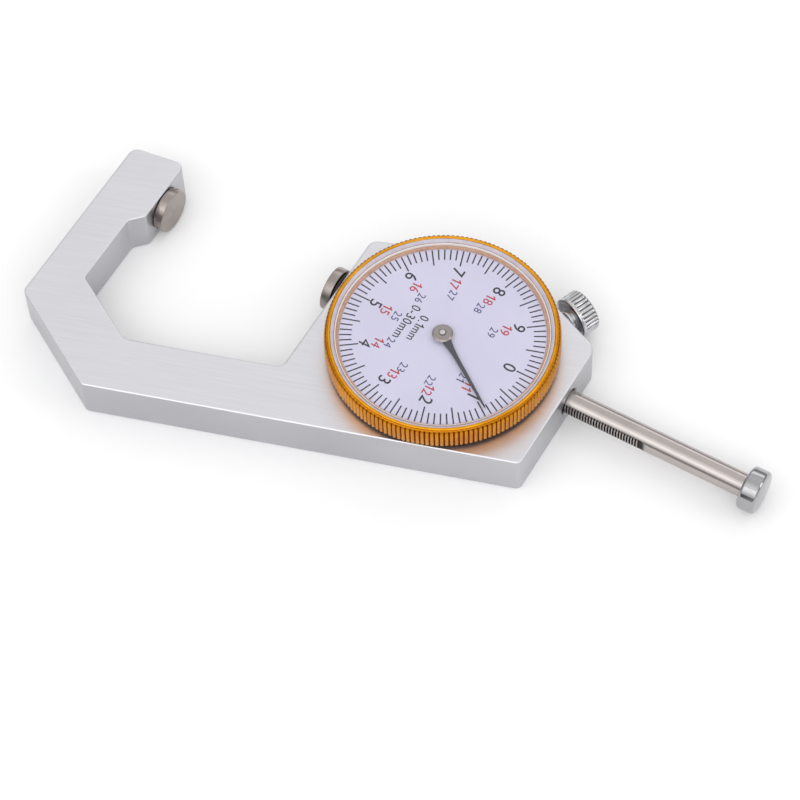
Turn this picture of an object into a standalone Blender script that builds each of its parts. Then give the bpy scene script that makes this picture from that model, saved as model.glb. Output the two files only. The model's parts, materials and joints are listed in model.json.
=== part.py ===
"""Dial thickness gauge: a C-shaped plate with a rack spindle, a pinion pointer and a turning bezel.

The frame lies on its back face. +X runs along the spindle towards its pull knob, +Z is the
dial's normal, and the origin is on the dial's axis at the frame's back face.
Sizes are in millimetres, and MM turns them into metres.
"""

import math

import bmesh
import bpy
from mathutils import Matrix, Vector

MM = 0.001

# Fits
RUN_GAP = 0.06
SEAT_GAP = 0.1

# Measuring range: the jaw stands fully open in this model
JAW_GAP = 30.95
MM_PER_TURN = 10.0
PINION_TEETH = 20
PRESSURE_ANGLE = math.radians(20)
BACKLASH = 0.03

# Frame plate
PLATE_T = 8.2
BODY_LEFT = 20.8
BODY_RIGHT = 21.5
ROOF_PEAK = 21.0
ROOF_ANGLE = math.radians(22.6)
RAIL_ANGLE = math.radians(17.7)
RAIL_W = 10.0
RAIL_DROP = 15.9
LEG_ANGLE = math.radians(29.8)
LEG_W = 9.9
LEG_DROP = 17.1
ARM_W = 7.5
ARM_TIP_ANGLE = math.radians(7.9)
PAD_RISE = 2.1
PAD_ABOVE = 7.0
PAD_BELOW = 5.4
EDGE_ROUND = 0.45

# Spindle
SPINDLE_R = 2.0
RACK_FLAT = 0.13
RACK_LEAD = 1.5
RACK_TAIL = 4.0
RUNOUT_R = 1.5
RUNOUT_AHEAD = 0.4
KEYWAY_W = 1.4
KEYWAY_DEPTH = 0.6
KNOB_CLEAR = 0.9
KNOB_R = 3.68
KNOB_T = 3.0
KNOB_STUB_R = 1.3
KNOB_STUB_L = 2.2

# Contact faces
DISC_R = 3.78
DISC_T = 1.65
DISC_EDGE = 0.15
STUD_R = 1.2
STUD_L = 4.5
BUMPER_T = 0.45
BUMPER_MARGIN = 0.33
OPEN_STOP_GAP = 0.3

# Spindle guides
BORE_GAP = 0.25
BUSH_WALL = 0.7
BUSH_L = 7.4
BUSH_RECESS = 1.5
GUIDE_R = 0.6
GUIDE_THREAD_R = 0.9
GUIDE_BACK = 9.0

# Movement under the dial
POCKET_R = 6.8
POCKET_UNDER_ROD = 0.3
FLOOR_WEB = 0.6
LEDGE_R = 9.0
BRIDGE_T = 0.7
BRIDGE_SCREW_PCR = 7.9
BRIDGE_SCREW_R = 0.6
BRIDGE_SCREW_HEAD_R = 1.05
BRIDGE_SCREW_HEAD_H = 0.4
BRIDGE_SCREW_L = 2.8
ARBOR_R = 0.8
PIVOT_R = 0.45
BEARING_R = 1.2
BEARING_PROUD = 0.5
LEDGE_DEPTH = 1.3
GEAR_W = 2.4

# Dial case, bezel and crystal
CASE_R = 17.8
CASE_FLOOR_T = 0.9
CASE_RIM_W = 1.1
CASE_H = 2.7
CASE_HOLE_R = 2.5
CASE_SCREW_PCR = 12.0
CASE_SCREW_R = 0.9
CASE_SCREW_HEAD_R = 1.6
CASE_SCREW_HEAD_H = 0.8
CASE_SCREW_L = 3.4
SPRING_R = 0.25
SPRING_H = 1.55
BEZEL_WALL = 1.2
BEZEL_CROWN_W = 0.8
BEZEL_LIP_IN = 0.3
BEZEL_LIFT = 0.7
BEZEL_SIDE_H = 2.9
BEZEL_CROWN_H = 1.3
BEZEL_LEDGE = 0.9
BEZEL_LEDGE_T = 0.25
DIAL_T = 0.3
DIAL_HOLE_R = 1.2
GASKET_W = 0.45
GASKET_H = 0.55
CRYSTAL_T = 0.5
CRYSTAL_DOME = 0.8

# Pointer
HUB_R = 1.7
HUB_T = 0.75
HUB_GAP = 0.25
POINTER_SHORT = 1.9
POINTER_ROOT_W = 1.5
POINTER_TIP_W = 0.35
POINTER_T = 0.2
POINTER_LIFT = 0.2

# Lock screw in the sloping shoulder
LOCK_ALONG = 14.4
LOCK_HEAD_R = 3.66
LOCK_HEAD_T = 3.3
LOCK_HEAD_LIFT = 1.94
LOCK_SHANK_R = 1.25
LOCK_BUSH_WALL = 0.59
LOCK_BUSH_L = 6.0
LOCK_BUSH_PROUD = 0.5
LOCK_PAD_L = 2.0
LOCK_PAD_GAP = 0.2

# Worked out from the sizes above
TOOTH_PITCH = MM_PER_TURN / PINION_TEETH
MODULE = TOOTH_PITCH / math.pi
PINION_R = MODULE * PINION_TEETH / 2
ADDENDUM = MODULE
DEDENDUM = 1.25 * MODULE
SPINDLE_Y = PINION_R + SPINDLE_R - RACK_FLAT - ADDENDUM
SPINDLE_Z = PLATE_T / 2
BORE_R = SPINDLE_R + BORE_GAP
POCKET_FLOOR = SPINDLE_Z - SPINDLE_R - POCKET_UNDER_ROD
BUSH_R = SPINDLE_R + RUN_GAP + BUSH_WALL
BUMPER_R = DISC_R - BUMPER_MARGIN
LOCK_BUSH_R = LOCK_SHANK_R + RUN_GAP + LOCK_BUSH_WALL

BUMPER_X = -BODY_LEFT - OPEN_STOP_GAP - BUMPER_T
ROD_FRONT = BUMPER_X
DISC_BACK = ROD_FRONT - SEAT_GAP
DISC_FACE = DISC_BACK - DISC_T
ANVIL_FACE = DISC_FACE - JAW_GAP
PAD_X = ANVIL_FACE - DISC_T - SEAT_GAP
ARM_IN = PAD_X - PAD_RISE
ARM_OUT = ARM_IN - ARM_W
KNOB_X = BODY_RIGHT + JAW_GAP + KNOB_CLEAR
ROD_BACK = KNOB_X - SEAT_GAP
RACK_START = -RACK_LEAD
RACK_END = JAW_GAP + RACK_TAIL

LEDGE_Z = PLATE_T - LEDGE_DEPTH
BEARING_LOW = FLOOR_WEB + SEAT_GAP
BEARING_TOP = POCKET_FLOOR + BEARING_PROUD
BRIDGE_Z = LEDGE_Z + SEAT_GAP
CASE_Z = PLATE_T + SEAT_GAP
CASE_TOP = CASE_Z + CASE_H
BEZEL_Z = PLATE_T + BEZEL_LIFT
BEZEL_R = CASE_R + SEAT_GAP + BEZEL_WALL
BEZEL_TOP_R = BEZEL_R - BEZEL_CROWN_W
BEZEL_LIP_R = CASE_R - BEZEL_LIP_IN
LEDGE_BOTTOM = CASE_TOP + SEAT_GAP
DIAL_Z = LEDGE_BOTTOM + BEZEL_LEDGE_T + SEAT_GAP
DIAL_TOP = DIAL_Z + DIAL_T
GASKET_Z = DIAL_TOP + SEAT_GAP
CRYSTAL_Z = GASKET_Z + GASKET_H + SEAT_GAP
BEZEL_TOP = BEZEL_Z + BEZEL_SIDE_H + BEZEL_CROWN_H
HUB_Z = DIAL_TOP + HUB_GAP
POINTER_Z = HUB_Z + POINTER_LIFT
POINTER_L = BEZEL_LIP_R - POINTER_SHORT
POINTER_ANGLE = -math.tau * (JAW_GAP % MM_PER_TURN) / MM_PER_TURN

# name: (colour, roughness, metallic)
MATERIALS = {
    "brushed_aluminium": ((0.62, 0.62, 0.65), 0.34, 1.0),
    "gold_anodised": ((0.78, 0.38, 0.03), 0.28, 1.0),
    "polished_steel": ((0.63, 0.61, 0.58), 0.16, 1.0),
    "turned_steel": ((0.50, 0.47, 0.44), 0.3, 1.0),
    "chrome": ((0.68, 0.68, 0.7), 0.1, 1.0),
    "brass": ((0.66, 0.47, 0.16), 0.3, 1.0),
    "bearing_bronze": ((0.42, 0.24, 0.11), 0.4, 1.0),
    "black_rubber": ((0.012, 0.012, 0.013), 0.6, 0.0),
    "dial_white": ((0.7, 0.68, 0.84), 0.5, 0.0),
    "clear_acrylic": ((0.9, 0.92, 0.93), 0.05, 0.0),
    "pointer_grey": ((0.09, 0.09, 0.1), 0.4, 0.5),
    "gasket_brown": ((0.4, 0.2, 0.1), 0.5, 0.0),
}


def clear_scene():
    """Remove every object of the open scene."""
    for obj in list(bpy.data.objects):
        bpy.data.objects.remove(obj, do_unlink=True)


def material(name):
    """Give the named Principled material, made on its first use."""
    found = bpy.data.materials.get(name)
    if found:
        return found
    colour, roughness, metallic = MATERIALS[name]
    made = bpy.data.materials.new(name)
    made.use_nodes = True
    shader = made.node_tree.nodes["Principled BSDF"]
    shader.inputs["Base Color"].default_value = (*colour, 1.0)
    shader.inputs["Roughness"].default_value = roughness
    shader.inputs["Metallic"].default_value = metallic
    made.diffuse_color = (*colour, 1.0)
    return made


def finish(bm, name, material_name, parent=None, smooth=35):
    """Turn a bmesh in millimetres into a named object in metres."""
    bmesh.ops.scale(bm, vec=(MM, MM, MM), verts=bm.verts)
    bmesh.ops.recalc_face_normals(bm, faces=bm.faces)
    mesh = bpy.data.meshes.new(name)
    bm.to_mesh(mesh)
    bm.free()
    if smooth:
        mesh.shade_smooth()
        mesh.set_sharp_from_angle(angle=math.radians(smooth))
    obj = bpy.data.objects.new(name, mesh)
    bpy.context.collection.objects.link(obj)
    if material_name:
        mesh.materials.append(material(material_name))
    if parent:
        obj.parent = parent
    return obj


def place(obj, x=0.0, y=0.0, z=0.0, rotation=(0.0, 0.0, 0.0)):
    """Put an object at a point in millimetres, with a rotation in radians."""
    obj.location = (x * MM, y * MM, z * MM)
    obj.rotation_euler = rotation
    return obj


def axis_empty(name, x, y, z, rotation):
    """An empty on a joint's axis, whose local Z is that axis."""
    empty = bpy.data.objects.new(name, None)
    empty.empty_display_size = 0.005
    bpy.context.collection.objects.link(empty)
    return place(empty, x, y, z, rotation)


def turned_mesh(profile, steps):
    """Spin a (radius, height) outline about Z. Points at radius 0 lie on the axis."""
    bm = bmesh.new()
    verts = [bm.verts.new((r, 0.0, h)) for r, h in profile]
    edges = [bm.edges.new(pair) for pair in zip(verts, verts[1:])]
    on_axis = profile[0][0] == 0.0 and profile[-1][0] == 0.0
    if not on_axis:
        edges.append(bm.edges.new((verts[-1], verts[0])))
    bmesh.ops.spin(bm, geom=verts + edges, axis=(0, 0, 1), cent=(0, 0, 0),
                   angle=math.tau, steps=steps, use_merge=True)
    bmesh.ops.remove_doubles(bm, verts=bm.verts, dist=1e-5)
    return bm


def turned(name, profile, material_name, parent=None, steps=24):
    """A turned piece about its own Z."""
    return finish(turned_mesh(profile, steps), name, material_name, parent)


def tube_profile(inner, outer, low, high):
    """The outline of a plain ring."""
    return [(inner, low), (outer, low), (outer, high), (inner, high)]


def disc_profile(radius, low, high, edge=0.0):
    """The outline of a solid disc with chamfered rims."""
    if not edge:
        return [(0.0, low), (radius, low), (radius, high), (0.0, high)]
    return [(0.0, low), (radius - edge, low), (radius, low + edge),
            (radius, high - edge), (radius - edge, high), (0.0, high)]


def extruded_mesh(outline, low, high):
    """Extrude a closed (x, y) outline from one height to another."""
    bm = bmesh.new()
    verts = [bm.verts.new((x, y, low)) for x, y in outline]
    face = bm.faces.new(verts)
    side = bmesh.ops.extrude_face_region(bm, geom=[face])
    moved = [item for item in side["geom"] if isinstance(item, bmesh.types.BMVert)]
    bmesh.ops.translate(bm, vec=(0, 0, high - low), verts=moved)
    return bm


def cutter(bm, name, parent=None):
    """A hidden tool solid for a Boolean."""
    obj = finish(bm, name, None, parent, smooth=0)
    obj.hide_render = True
    obj.display_type = "WIRE"
    return obj


def boolean(obj, tool, operation="DIFFERENCE"):
    """Cut a piece with a tool solid, or join the two."""
    modifier = obj.modifiers.new(tool.name, "BOOLEAN")
    modifier.operation = operation
    modifier.solver = "EXACT"
    modifier.object = tool
    return modifier


def line_cross(a, angle_a, b, angle_b):
    """Where two lines meet, each given by a point and its angle."""
    da = Vector((math.cos(angle_a), math.sin(angle_a)))
    db = Vector((math.cos(angle_b), math.sin(angle_b)))
    gap = Vector(b) - Vector(a)
    t = (gap.x * db.y - gap.y * db.x) / (da.x * db.y - da.y * db.x)
    hit = Vector(a) + da * t
    return hit.x, hit.y


def offset_point(point, angle, distance):
    """A point moved square to a line of the given angle, to its right-hand side."""
    return (point[0] + math.sin(angle) * distance,
            point[1] - math.cos(angle) * distance)


def rounded(corners, steps=4):
    """Round each (x, y, radius) corner of a closed outline with an arc."""
    points = []
    count = len(corners)
    for i, (x, y, radius) in enumerate(corners):
        here = Vector((x, y))
        before = (Vector(corners[i - 1][:2]) - here).normalized()
        after = (Vector(corners[(i + 1) % count][:2]) - here).normalized()
        half = before.angle(after) / 2
        centre = here + (before + after).normalized() * (radius / math.sin(half))
        start = here + before * (radius / math.tan(half)) - centre
        end = here + after * (radius / math.tan(half)) - centre
        turn = start.angle_signed(end)
        for k in range(steps + 1):
            spoke = Matrix.Rotation(-turn * k / steps, 2) @ start
            points.append(tuple(centre + spoke))
    return points


def frame_outline():
    """The C-shaped plate: body, sloping lower rail, leg, arm and the anvil's pad."""
    up = math.pi / 2
    rail_in = (-BODY_LEFT, -RAIL_DROP)
    leg_in = (ARM_IN, -LEG_DROP)
    rail_out = offset_point(rail_in, RAIL_ANGLE, RAIL_W)
    leg_out = offset_point(leg_in, -LEG_ANGLE, LEG_W)
    pad_top = (PAD_X, SPINDLE_Y + PAD_ABOVE)
    pad_low = SPINDLE_Y - PAD_BELOW
    roof = (0.0, ROOF_PEAK)
    corners = [
        (*line_cross(roof, -ROOF_ANGLE, (BODY_RIGHT, 0), up), 2.2),
        (*roof, 8.0),
        (*line_cross(roof, ROOF_ANGLE, (-BODY_LEFT, 0), up), 1.6),
        (*rail_in, 1.6),
        (*line_cross(rail_in, RAIL_ANGLE, leg_in, -LEG_ANGLE), 2.4),
        (*leg_in, 0.9),
        (ARM_IN, pad_low - PAD_RISE, 1.2),
        (PAD_X, pad_low, 0.6),
        (*pad_top, 1.4),
        (*line_cross(pad_top, ARM_TIP_ANGLE, (ARM_OUT, 0), up), 1.6),
        (*line_cross((ARM_OUT, 0), up, leg_out, -LEG_ANGLE), 0.9),
        (*line_cross(leg_out, -LEG_ANGLE, rail_out, RAIL_ANGLE), 0.9),
        (*line_cross(rail_out, RAIL_ANGLE, (BODY_RIGHT, 0), up), 1.1),
    ]
    return rounded(corners)


def lock_foot():
    """The point on the sloping shoulder where the lock screw's axis leaves the frame."""
    return (LOCK_ALONG * math.cos(ROOF_ANGLE),
            ROOF_PEAK - LOCK_ALONG * math.sin(ROOF_ANGLE))


def lock_axis():
    """Location and rotation of the lock screw's axis, which points out of the shoulder."""
    x, y = lock_foot()
    return x, y, SPINDLE_Z, (0.0, math.pi / 2, math.pi / 2 - ROOF_ANGLE)


def lock_reach():
    """Distance along the lock screw's axis from the shoulder to the spindle's axis."""
    return (lock_foot()[1] - SPINDLE_Y) / math.cos(ROOF_ANGLE)


def spin_points(radius, count=3, first=math.pi / 2):
    """Evenly spaced points on a circle."""
    return [(radius * math.cos(first + math.tau * i / count),
             radius * math.sin(first + math.tau * i / count)) for i in range(count)]


def pegs_mesh(points, radius, low, high, steps=12):
    """Separate upright cylinders at several points."""
    bm = bmesh.new()
    for x, y in points:
        where = Matrix.Translation((x, y, (low + high) / 2))
        bmesh.ops.create_cone(bm, cap_ends=True, segments=steps, radius1=radius,
                              radius2=radius, depth=high - low, matrix=where)
    return bm


def make_frame(spindle_axis, lock_empty):
    """The machined plate with its spindle bore, movement pocket and screw holes."""
    bm = extruded_mesh(frame_outline(), 0.0, PLATE_T)
    frame = finish(bm, "frame", "brushed_aluminium")
    edge = frame.modifiers.new("edge_round", "BEVEL")
    edge.width = EDGE_ROUND * MM
    edge.segments = 2
    edge.limit_method = "ANGLE"
    edge.angle_limit = math.radians(60)

    past = 1.0
    front_end = -BODY_LEFT + BUSH_L
    rear_start = BODY_RIGHT - BUSH_RECESS - BUSH_L
    seat_r = BUSH_R + SEAT_GAP
    bore = [(0.0, -BODY_LEFT - past), (seat_r, -BODY_LEFT - past), (seat_r, front_end + SEAT_GAP),
            (BORE_R, front_end + SEAT_GAP), (BORE_R, rear_start - SEAT_GAP),
            (seat_r, rear_start - SEAT_GAP), (seat_r, BODY_RIGHT + past),
            (0.0, BODY_RIGHT + past)]
    boolean(frame, cutter(turned_mesh(bore, 24), "spindle_bore_tool", spindle_axis))

    pit = BEARING_R + SEAT_GAP
    pocket = [(0.0, FLOOR_WEB), (pit, FLOOR_WEB), (pit, POCKET_FLOOR), (POCKET_R, POCKET_FLOOR),
              (POCKET_R, LEDGE_Z), (LEDGE_R, LEDGE_Z), (LEDGE_R, PLATE_T + past),
              (0.0, PLATE_T + past)]
    boolean(frame, cutter(turned_mesh(pocket, 32), "pocket_tool"))

    bridge_holes = pegs_mesh(spin_points(BRIDGE_SCREW_PCR), BRIDGE_SCREW_R + SEAT_GAP,
                             LEDGE_Z - BRIDGE_SCREW_L - 2 * SEAT_GAP, LEDGE_Z + 0.2)
    boolean(frame, cutter(bridge_holes, "bridge_hole_tool"))
    case_holes = pegs_mesh(spin_points(CASE_SCREW_PCR), CASE_SCREW_R + SEAT_GAP,
                           PLATE_T - CASE_SCREW_L - 2 * SEAT_GAP, PLATE_T + 0.5)
    boolean(frame, cutter(case_holes, "case_hole_tool"))
    guide_hole = pegs_mesh([(-GUIDE_BACK, SPINDLE_Y)], GUIDE_THREAD_R + SEAT_GAP,
                           -past, SPINDLE_Z)
    boolean(frame, cutter(guide_hole, "guide_hole_tool"))

    bush_r = LOCK_BUSH_R + SEAT_GAP
    shank_r = LOCK_SHANK_R + 0.15
    lock_hole = [(0.0, -lock_reach()), (shank_r, -lock_reach()),
                 (shank_r, -LOCK_BUSH_L - SEAT_GAP), (bush_r, -LOCK_BUSH_L - SEAT_GAP),
                 (bush_r, 2 * past), (0.0, 2 * past)]
    boolean(frame, cutter(turned_mesh(lock_hole, 20), "lock_hole_tool", lock_empty))

    stud_hole = [(0.0, PAD_X - STUD_L), (STUD_R + SEAT_GAP, PAD_X - STUD_L),
                 (STUD_R + SEAT_GAP, PAD_X + past), (0.0, PAD_X + past)]
    boolean(frame, cutter(turned_mesh(stud_hole, 16), "stud_hole_tool", spindle_axis))
    return frame


def make_anvil(spindle_fixed):
    """The fixed contact disc on the stud that is pressed into the arm's pad."""
    back = ANVIL_FACE - DISC_T
    profile = [(0.0, PAD_X - STUD_L + 0.3), (STUD_R, PAD_X - STUD_L + 0.3), (STUD_R, back),
               (DISC_R - DISC_EDGE, back), (DISC_R, back + DISC_EDGE),
               (DISC_R, ANVIL_FACE - DISC_EDGE), (DISC_R - DISC_EDGE, ANVIL_FACE),
               (0.0, ANVIL_FACE)]
    return turned("anvil", profile, "turned_steel", spindle_fixed)


def make_bushes(spindle_fixed):
    """The two plain bushes that guide the spindle, and the screw that keeps it from turning."""
    inner = SPINDLE_R + RUN_GAP
    front = -BODY_LEFT + 0.2
    turned("front_bush", tube_profile(inner, BUSH_R, front, -BODY_LEFT + BUSH_L),
           "bearing_bronze", spindle_fixed, 20)
    rear = BODY_RIGHT - BUSH_RECESS - BUSH_L
    turned("rear_bush", tube_profile(inner, BUSH_R, rear, BODY_RIGHT - BUSH_RECESS),
           "bearing_bronze", spindle_fixed, 20)

    dog_top = SPINDLE_Z - SPINDLE_R + KEYWAY_DEPTH - SEAT_GAP
    neck = SPINDLE_Z - SPINDLE_R - 0.3
    profile = [(0.0, 0.3), (GUIDE_THREAD_R, 0.3), (GUIDE_THREAD_R, neck), (GUIDE_R, neck),
               (GUIDE_R, dog_top), (0.0, dog_top)]
    screw = turned("guide_screw", profile, "polished_steel", None, 16)
    place(screw, -GUIDE_BACK, SPINDLE_Y)
    socket = bmesh.new()
    bmesh.ops.create_cone(socket, cap_ends=True, segments=6, radius1=0.45, radius2=0.45,
                          depth=1.2, matrix=Matrix.Translation((0, 0, 0.3)))
    boolean(screw, place(cutter(socket, "socket_tool"), -GUIDE_BACK, SPINDLE_Y))


def make_movement():
    """The bridge over the pocket, its screws and the arbor's two bearings."""
    hole = PIVOT_R + RUN_GAP
    turned("lower_bearing", tube_profile(hole, BEARING_R, BEARING_LOW, BEARING_TOP), "brass",
           None, 16)
    turned("upper_bearing", tube_profile(hole, BEARING_R, BRIDGE_Z, BRIDGE_Z + BRIDGE_T),
           "brass", None, 16)

    ring = tube_profile(BEARING_R + SEAT_GAP, LEDGE_R - SEAT_GAP, BRIDGE_Z, BRIDGE_Z + BRIDGE_T)
    bridge = turned("movement_bridge", ring, "brass", None, 32)
    holes = pegs_mesh(spin_points(BRIDGE_SCREW_PCR), BRIDGE_SCREW_R + SEAT_GAP,
                      BRIDGE_Z - 0.5, BRIDGE_Z + BRIDGE_T + 0.5)
    boolean(bridge, cutter(holes, "bridge_clearance_tool"))

    seat = BRIDGE_Z + BRIDGE_T + SEAT_GAP / 2
    heights = (LEDGE_Z - BRIDGE_SCREW_L, seat, seat + BRIDGE_SCREW_HEAD_H)
    screw_set("bridge_screw", spin_points(BRIDGE_SCREW_PCR), BRIDGE_SCREW_R,
              BRIDGE_SCREW_HEAD_R, heights)


def screw_set(name, points, shank_r, head_r, heights):
    """One cheese-head screw at each point. The heights are its foot, its seat and its top."""
    low, seat, top = heights
    profile = [(0.0, low), (shank_r, low), (shank_r, seat), (head_r, seat), (head_r, top),
               (0.0, top)]
    for number, (x, y) in enumerate(points, 1):
        place(turned(f"{name}_{number}", profile, "polished_steel", None, 12), x, y)


def make_case():
    """The fixed case ring that carries the bezel, with its screws and friction spring."""
    floor_top = CASE_Z + CASE_FLOOR_T
    groove_r = CASE_R - 0.5
    groove = CASE_Z + SPRING_H
    half = SPRING_R + 0.1
    profile = [(CASE_HOLE_R, CASE_Z), (CASE_R - 0.8, CASE_Z), (CASE_R, CASE_Z + 0.5),
               (CASE_R, groove - half), (groove_r, groove - half), (groove_r, groove + half),
               (CASE_R, groove + half), (CASE_R, CASE_TOP), (CASE_R - CASE_RIM_W, CASE_TOP),
               (CASE_R - CASE_RIM_W, floor_top), (CASE_HOLE_R, floor_top)]
    case = turned("dial_case", profile, "brushed_aluminium", None, 40)
    holes = pegs_mesh(spin_points(CASE_SCREW_PCR), CASE_SCREW_R + SEAT_GAP,
                      CASE_Z - 0.5, floor_top + 0.5)
    boolean(case, cutter(holes, "case_clearance_tool"))
    seat = floor_top + SEAT_GAP / 2
    heights = (PLATE_T - CASE_SCREW_L, seat, seat + CASE_SCREW_HEAD_H)
    screw_set("case_screw", spin_points(CASE_SCREW_PCR), CASE_SCREW_R, CASE_SCREW_HEAD_R, heights)

    gap = math.radians(24)
    sides = 6
    steps = 30
    centre = CASE_R - 0.05
    bm = bmesh.new()
    ring = [bm.verts.new((centre + SPRING_R * math.cos(math.tau * i / sides), 0.0,
                          groove + SPRING_R * math.sin(math.tau * i / sides)))
            for i in range(sides)]
    start = bm.faces.new(ring)
    bmesh.ops.rotate(bm, cent=(0, 0, 0), matrix=Matrix.Rotation(gap / 2, 3, "Z"), verts=ring)
    bmesh.ops.spin(bm, geom=[start], axis=(0, 0, 1), cent=(0, 0, 0), angle=math.tau - gap,
                   steps=steps)
    finish(bm, "bezel_spring", "polished_steel")


def make_bezel():
    """The turning bezel with the dial plate, the gasket and the domed crystal in it."""
    skirt_r = CASE_R + SEAT_GAP
    groove_r = skirt_r + 0.3
    groove = CASE_Z + SPRING_H
    half = SPRING_R + 0.1
    side_top = BEZEL_Z + BEZEL_SIDE_H
    ledge_top = LEDGE_BOTTOM + BEZEL_LEDGE_T
    profile = [(skirt_r, BEZEL_Z), (BEZEL_R - 0.2, BEZEL_Z), (BEZEL_R, BEZEL_Z + 0.2),
               (BEZEL_R, side_top), (BEZEL_R - 0.3, side_top + 0.7 * BEZEL_CROWN_H),
               (BEZEL_TOP_R, BEZEL_TOP), (BEZEL_LIP_R + 0.1, BEZEL_TOP),
               (BEZEL_LIP_R, BEZEL_TOP - 0.1), (BEZEL_LIP_R, ledge_top),
               (BEZEL_LIP_R - BEZEL_LEDGE, ledge_top), (BEZEL_LIP_R - BEZEL_LEDGE, LEDGE_BOTTOM),
               (skirt_r, LEDGE_BOTTOM), (skirt_r, groove + half), (groove_r, groove + half),
               (groove_r, groove - half), (skirt_r, groove - half)]
    turned("bezel", profile, "gold_anodised", None, 48)

    fit_r = BEZEL_LIP_R - SEAT_GAP
    turned("dial_plate", tube_profile(DIAL_HOLE_R, fit_r, DIAL_Z, DIAL_TOP), "dial_white", None, 40)
    turned("crystal_gasket", tube_profile(fit_r - GASKET_W, fit_r, GASKET_Z, GASKET_Z + GASKET_H),
           "gasket_brown", None, 40)

    dome_r = fit_r - GASKET_W
    radius = (dome_r ** 2 + CRYSTAL_DOME ** 2) / (2 * CRYSTAL_DOME)
    under = [(dome_r * i / 3, CRYSTAL_Z + dome_height(dome_r * i / 3, dome_r, radius))
             for i in range(4)]
    over = [(r, h + CRYSTAL_T) for r, h in reversed(under)]
    profile = under + [(fit_r, CRYSTAL_Z), (fit_r, CRYSTAL_Z + CRYSTAL_T)] + over
    turned("crystal", profile, "clear_acrylic", None, 40)


def dome_height(r, rim_r, radius):
    """Height of a shallow spherical dome above its rim."""
    return math.sqrt(radius ** 2 - r ** 2) - math.sqrt(radius ** 2 - rim_r ** 2)


def rod_profile():
    """The spindle's turned blank: a stud socket in front and a threaded stub behind."""
    socket_r = STUD_R + SEAT_GAP
    socket_end = ROD_FRONT + STUD_L + 0.3
    return [(0.0, socket_end), (socket_r, socket_end), (socket_r, ROD_FRONT),
            (SPINDLE_R - 0.15, ROD_FRONT), (SPINDLE_R, ROD_FRONT + 0.15), (SPINDLE_R, ROD_BACK),
            (KNOB_STUB_R, ROD_BACK), (KNOB_STUB_R, ROD_BACK + KNOB_STUB_L),
            (0.0, ROD_BACK + KNOB_STUB_L)]


def rack_tool_outline():
    """The rack's tooth spaces joined by the milled flat, seen along the pinion's axis."""
    tip = SPINDLE_R - RACK_FLAT
    root = tip - ADDENDUM - DEDENDUM
    space = TOOTH_PITCH / 2 + BACKLASH / 2
    slope = math.tan(PRESSURE_ANGLE)
    wide = space / 2 + ADDENDUM * slope
    narrow = space / 2 - DEDENDUM * slope
    points = []
    first = math.ceil(RACK_START / TOOTH_PITCH)
    last = math.floor(RACK_END / TOOTH_PITCH)
    for i in range(first, last + 1):
        x = i * TOOTH_PITCH
        points += [(x - wide, tip), (x - narrow, root), (x + narrow, root), (x + wide, tip)]
    past = SPINDLE_R + 1.0
    start_x = first * TOOTH_PITCH - TOOTH_PITCH
    end_x = last * TOOTH_PITCH + TOOTH_PITCH / 2
    return [(start_x, past), (start_x, tip)] + points + [(end_x, tip), (end_x, past)]


def make_spindle(spindle_axis):
    """The round spindle with its rack, keyway, contact disc, bumper and pull knob."""
    spindle = turned("spindle", rod_profile(), "polished_steel", spindle_axis, 24)

    # Local Z is the spindle's axis, and local -Y faces the pinion.
    reach = SPINDLE_R + 1.0
    bm = extruded_mesh(rack_tool_outline(), -reach, reach)
    lay = Matrix(((0, 0, 1), (0, -1, 0), (1, 0, 0)))
    bmesh.ops.transform(bm, matrix=lay.to_4x4(), verts=bm.verts)
    boolean(spindle, cutter(bm, "rack_tool", spindle_axis))

    root = SPINDLE_R - RACK_FLAT - ADDENDUM - DEDENDUM
    scoop = bmesh.new()
    where = Matrix.Translation((0, -root - RUNOUT_R, RACK_END + RUNOUT_AHEAD))
    across = Matrix.Rotation(math.pi / 2, 4, "Y")
    bmesh.ops.create_cone(scoop, cap_ends=True, segments=36, radius1=RUNOUT_R, radius2=RUNOUT_R,
                          depth=2 * reach, matrix=where @ across)
    boolean(spindle, cutter(scoop, "runout_tool", spindle_axis))

    key_low = -GUIDE_BACK - RACK_LEAD
    key_high = JAW_GAP - GUIDE_BACK + RACK_LEAD
    key = bmesh.new()
    size = Matrix.Diagonal((2.0, KEYWAY_W, key_high - key_low, 1.0))
    middle = Matrix.Translation((SPINDLE_R - KEYWAY_DEPTH + 1.0, 0, (key_low + key_high) / 2))
    bmesh.ops.create_cube(key, size=1.0, matrix=middle @ size)
    boolean(spindle, cutter(key, "keyway_tool", spindle_axis))

    contact = [(0.0, DISC_FACE), (DISC_R - DISC_EDGE, DISC_FACE), (DISC_R, DISC_FACE + DISC_EDGE),
               (DISC_R, DISC_BACK - DISC_EDGE), (DISC_R - DISC_EDGE, DISC_BACK),
               (STUD_R, DISC_BACK), (STUD_R, DISC_BACK + STUD_L), (0.0, DISC_BACK + STUD_L)]
    turned("contact_disc", contact, "turned_steel", spindle_axis)
    turned("bumper_washer", tube_profile(SPINDLE_R + SEAT_GAP, BUMPER_R, BUMPER_X,
                                         BUMPER_X + BUMPER_T), "black_rubber", spindle_axis, 24)

    stub_r = KNOB_STUB_R + SEAT_GAP
    stub_end = KNOB_X + KNOB_STUB_L
    edge = 0.5
    back = KNOB_X + KNOB_T
    knob = [(stub_r, KNOB_X), (KNOB_R - edge, KNOB_X), (KNOB_R - 0.3 * edge, KNOB_X + 0.3 * edge),
            (KNOB_R, KNOB_X + edge), (KNOB_R, back - edge), (KNOB_R - 0.3 * edge, back - 0.3 * edge),
            (KNOB_R - edge, back), (0.0, back), (0.0, stub_end), (stub_r, stub_end)]
    turned("pull_knob", knob_loop(knob), "chrome", spindle_axis)


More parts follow.
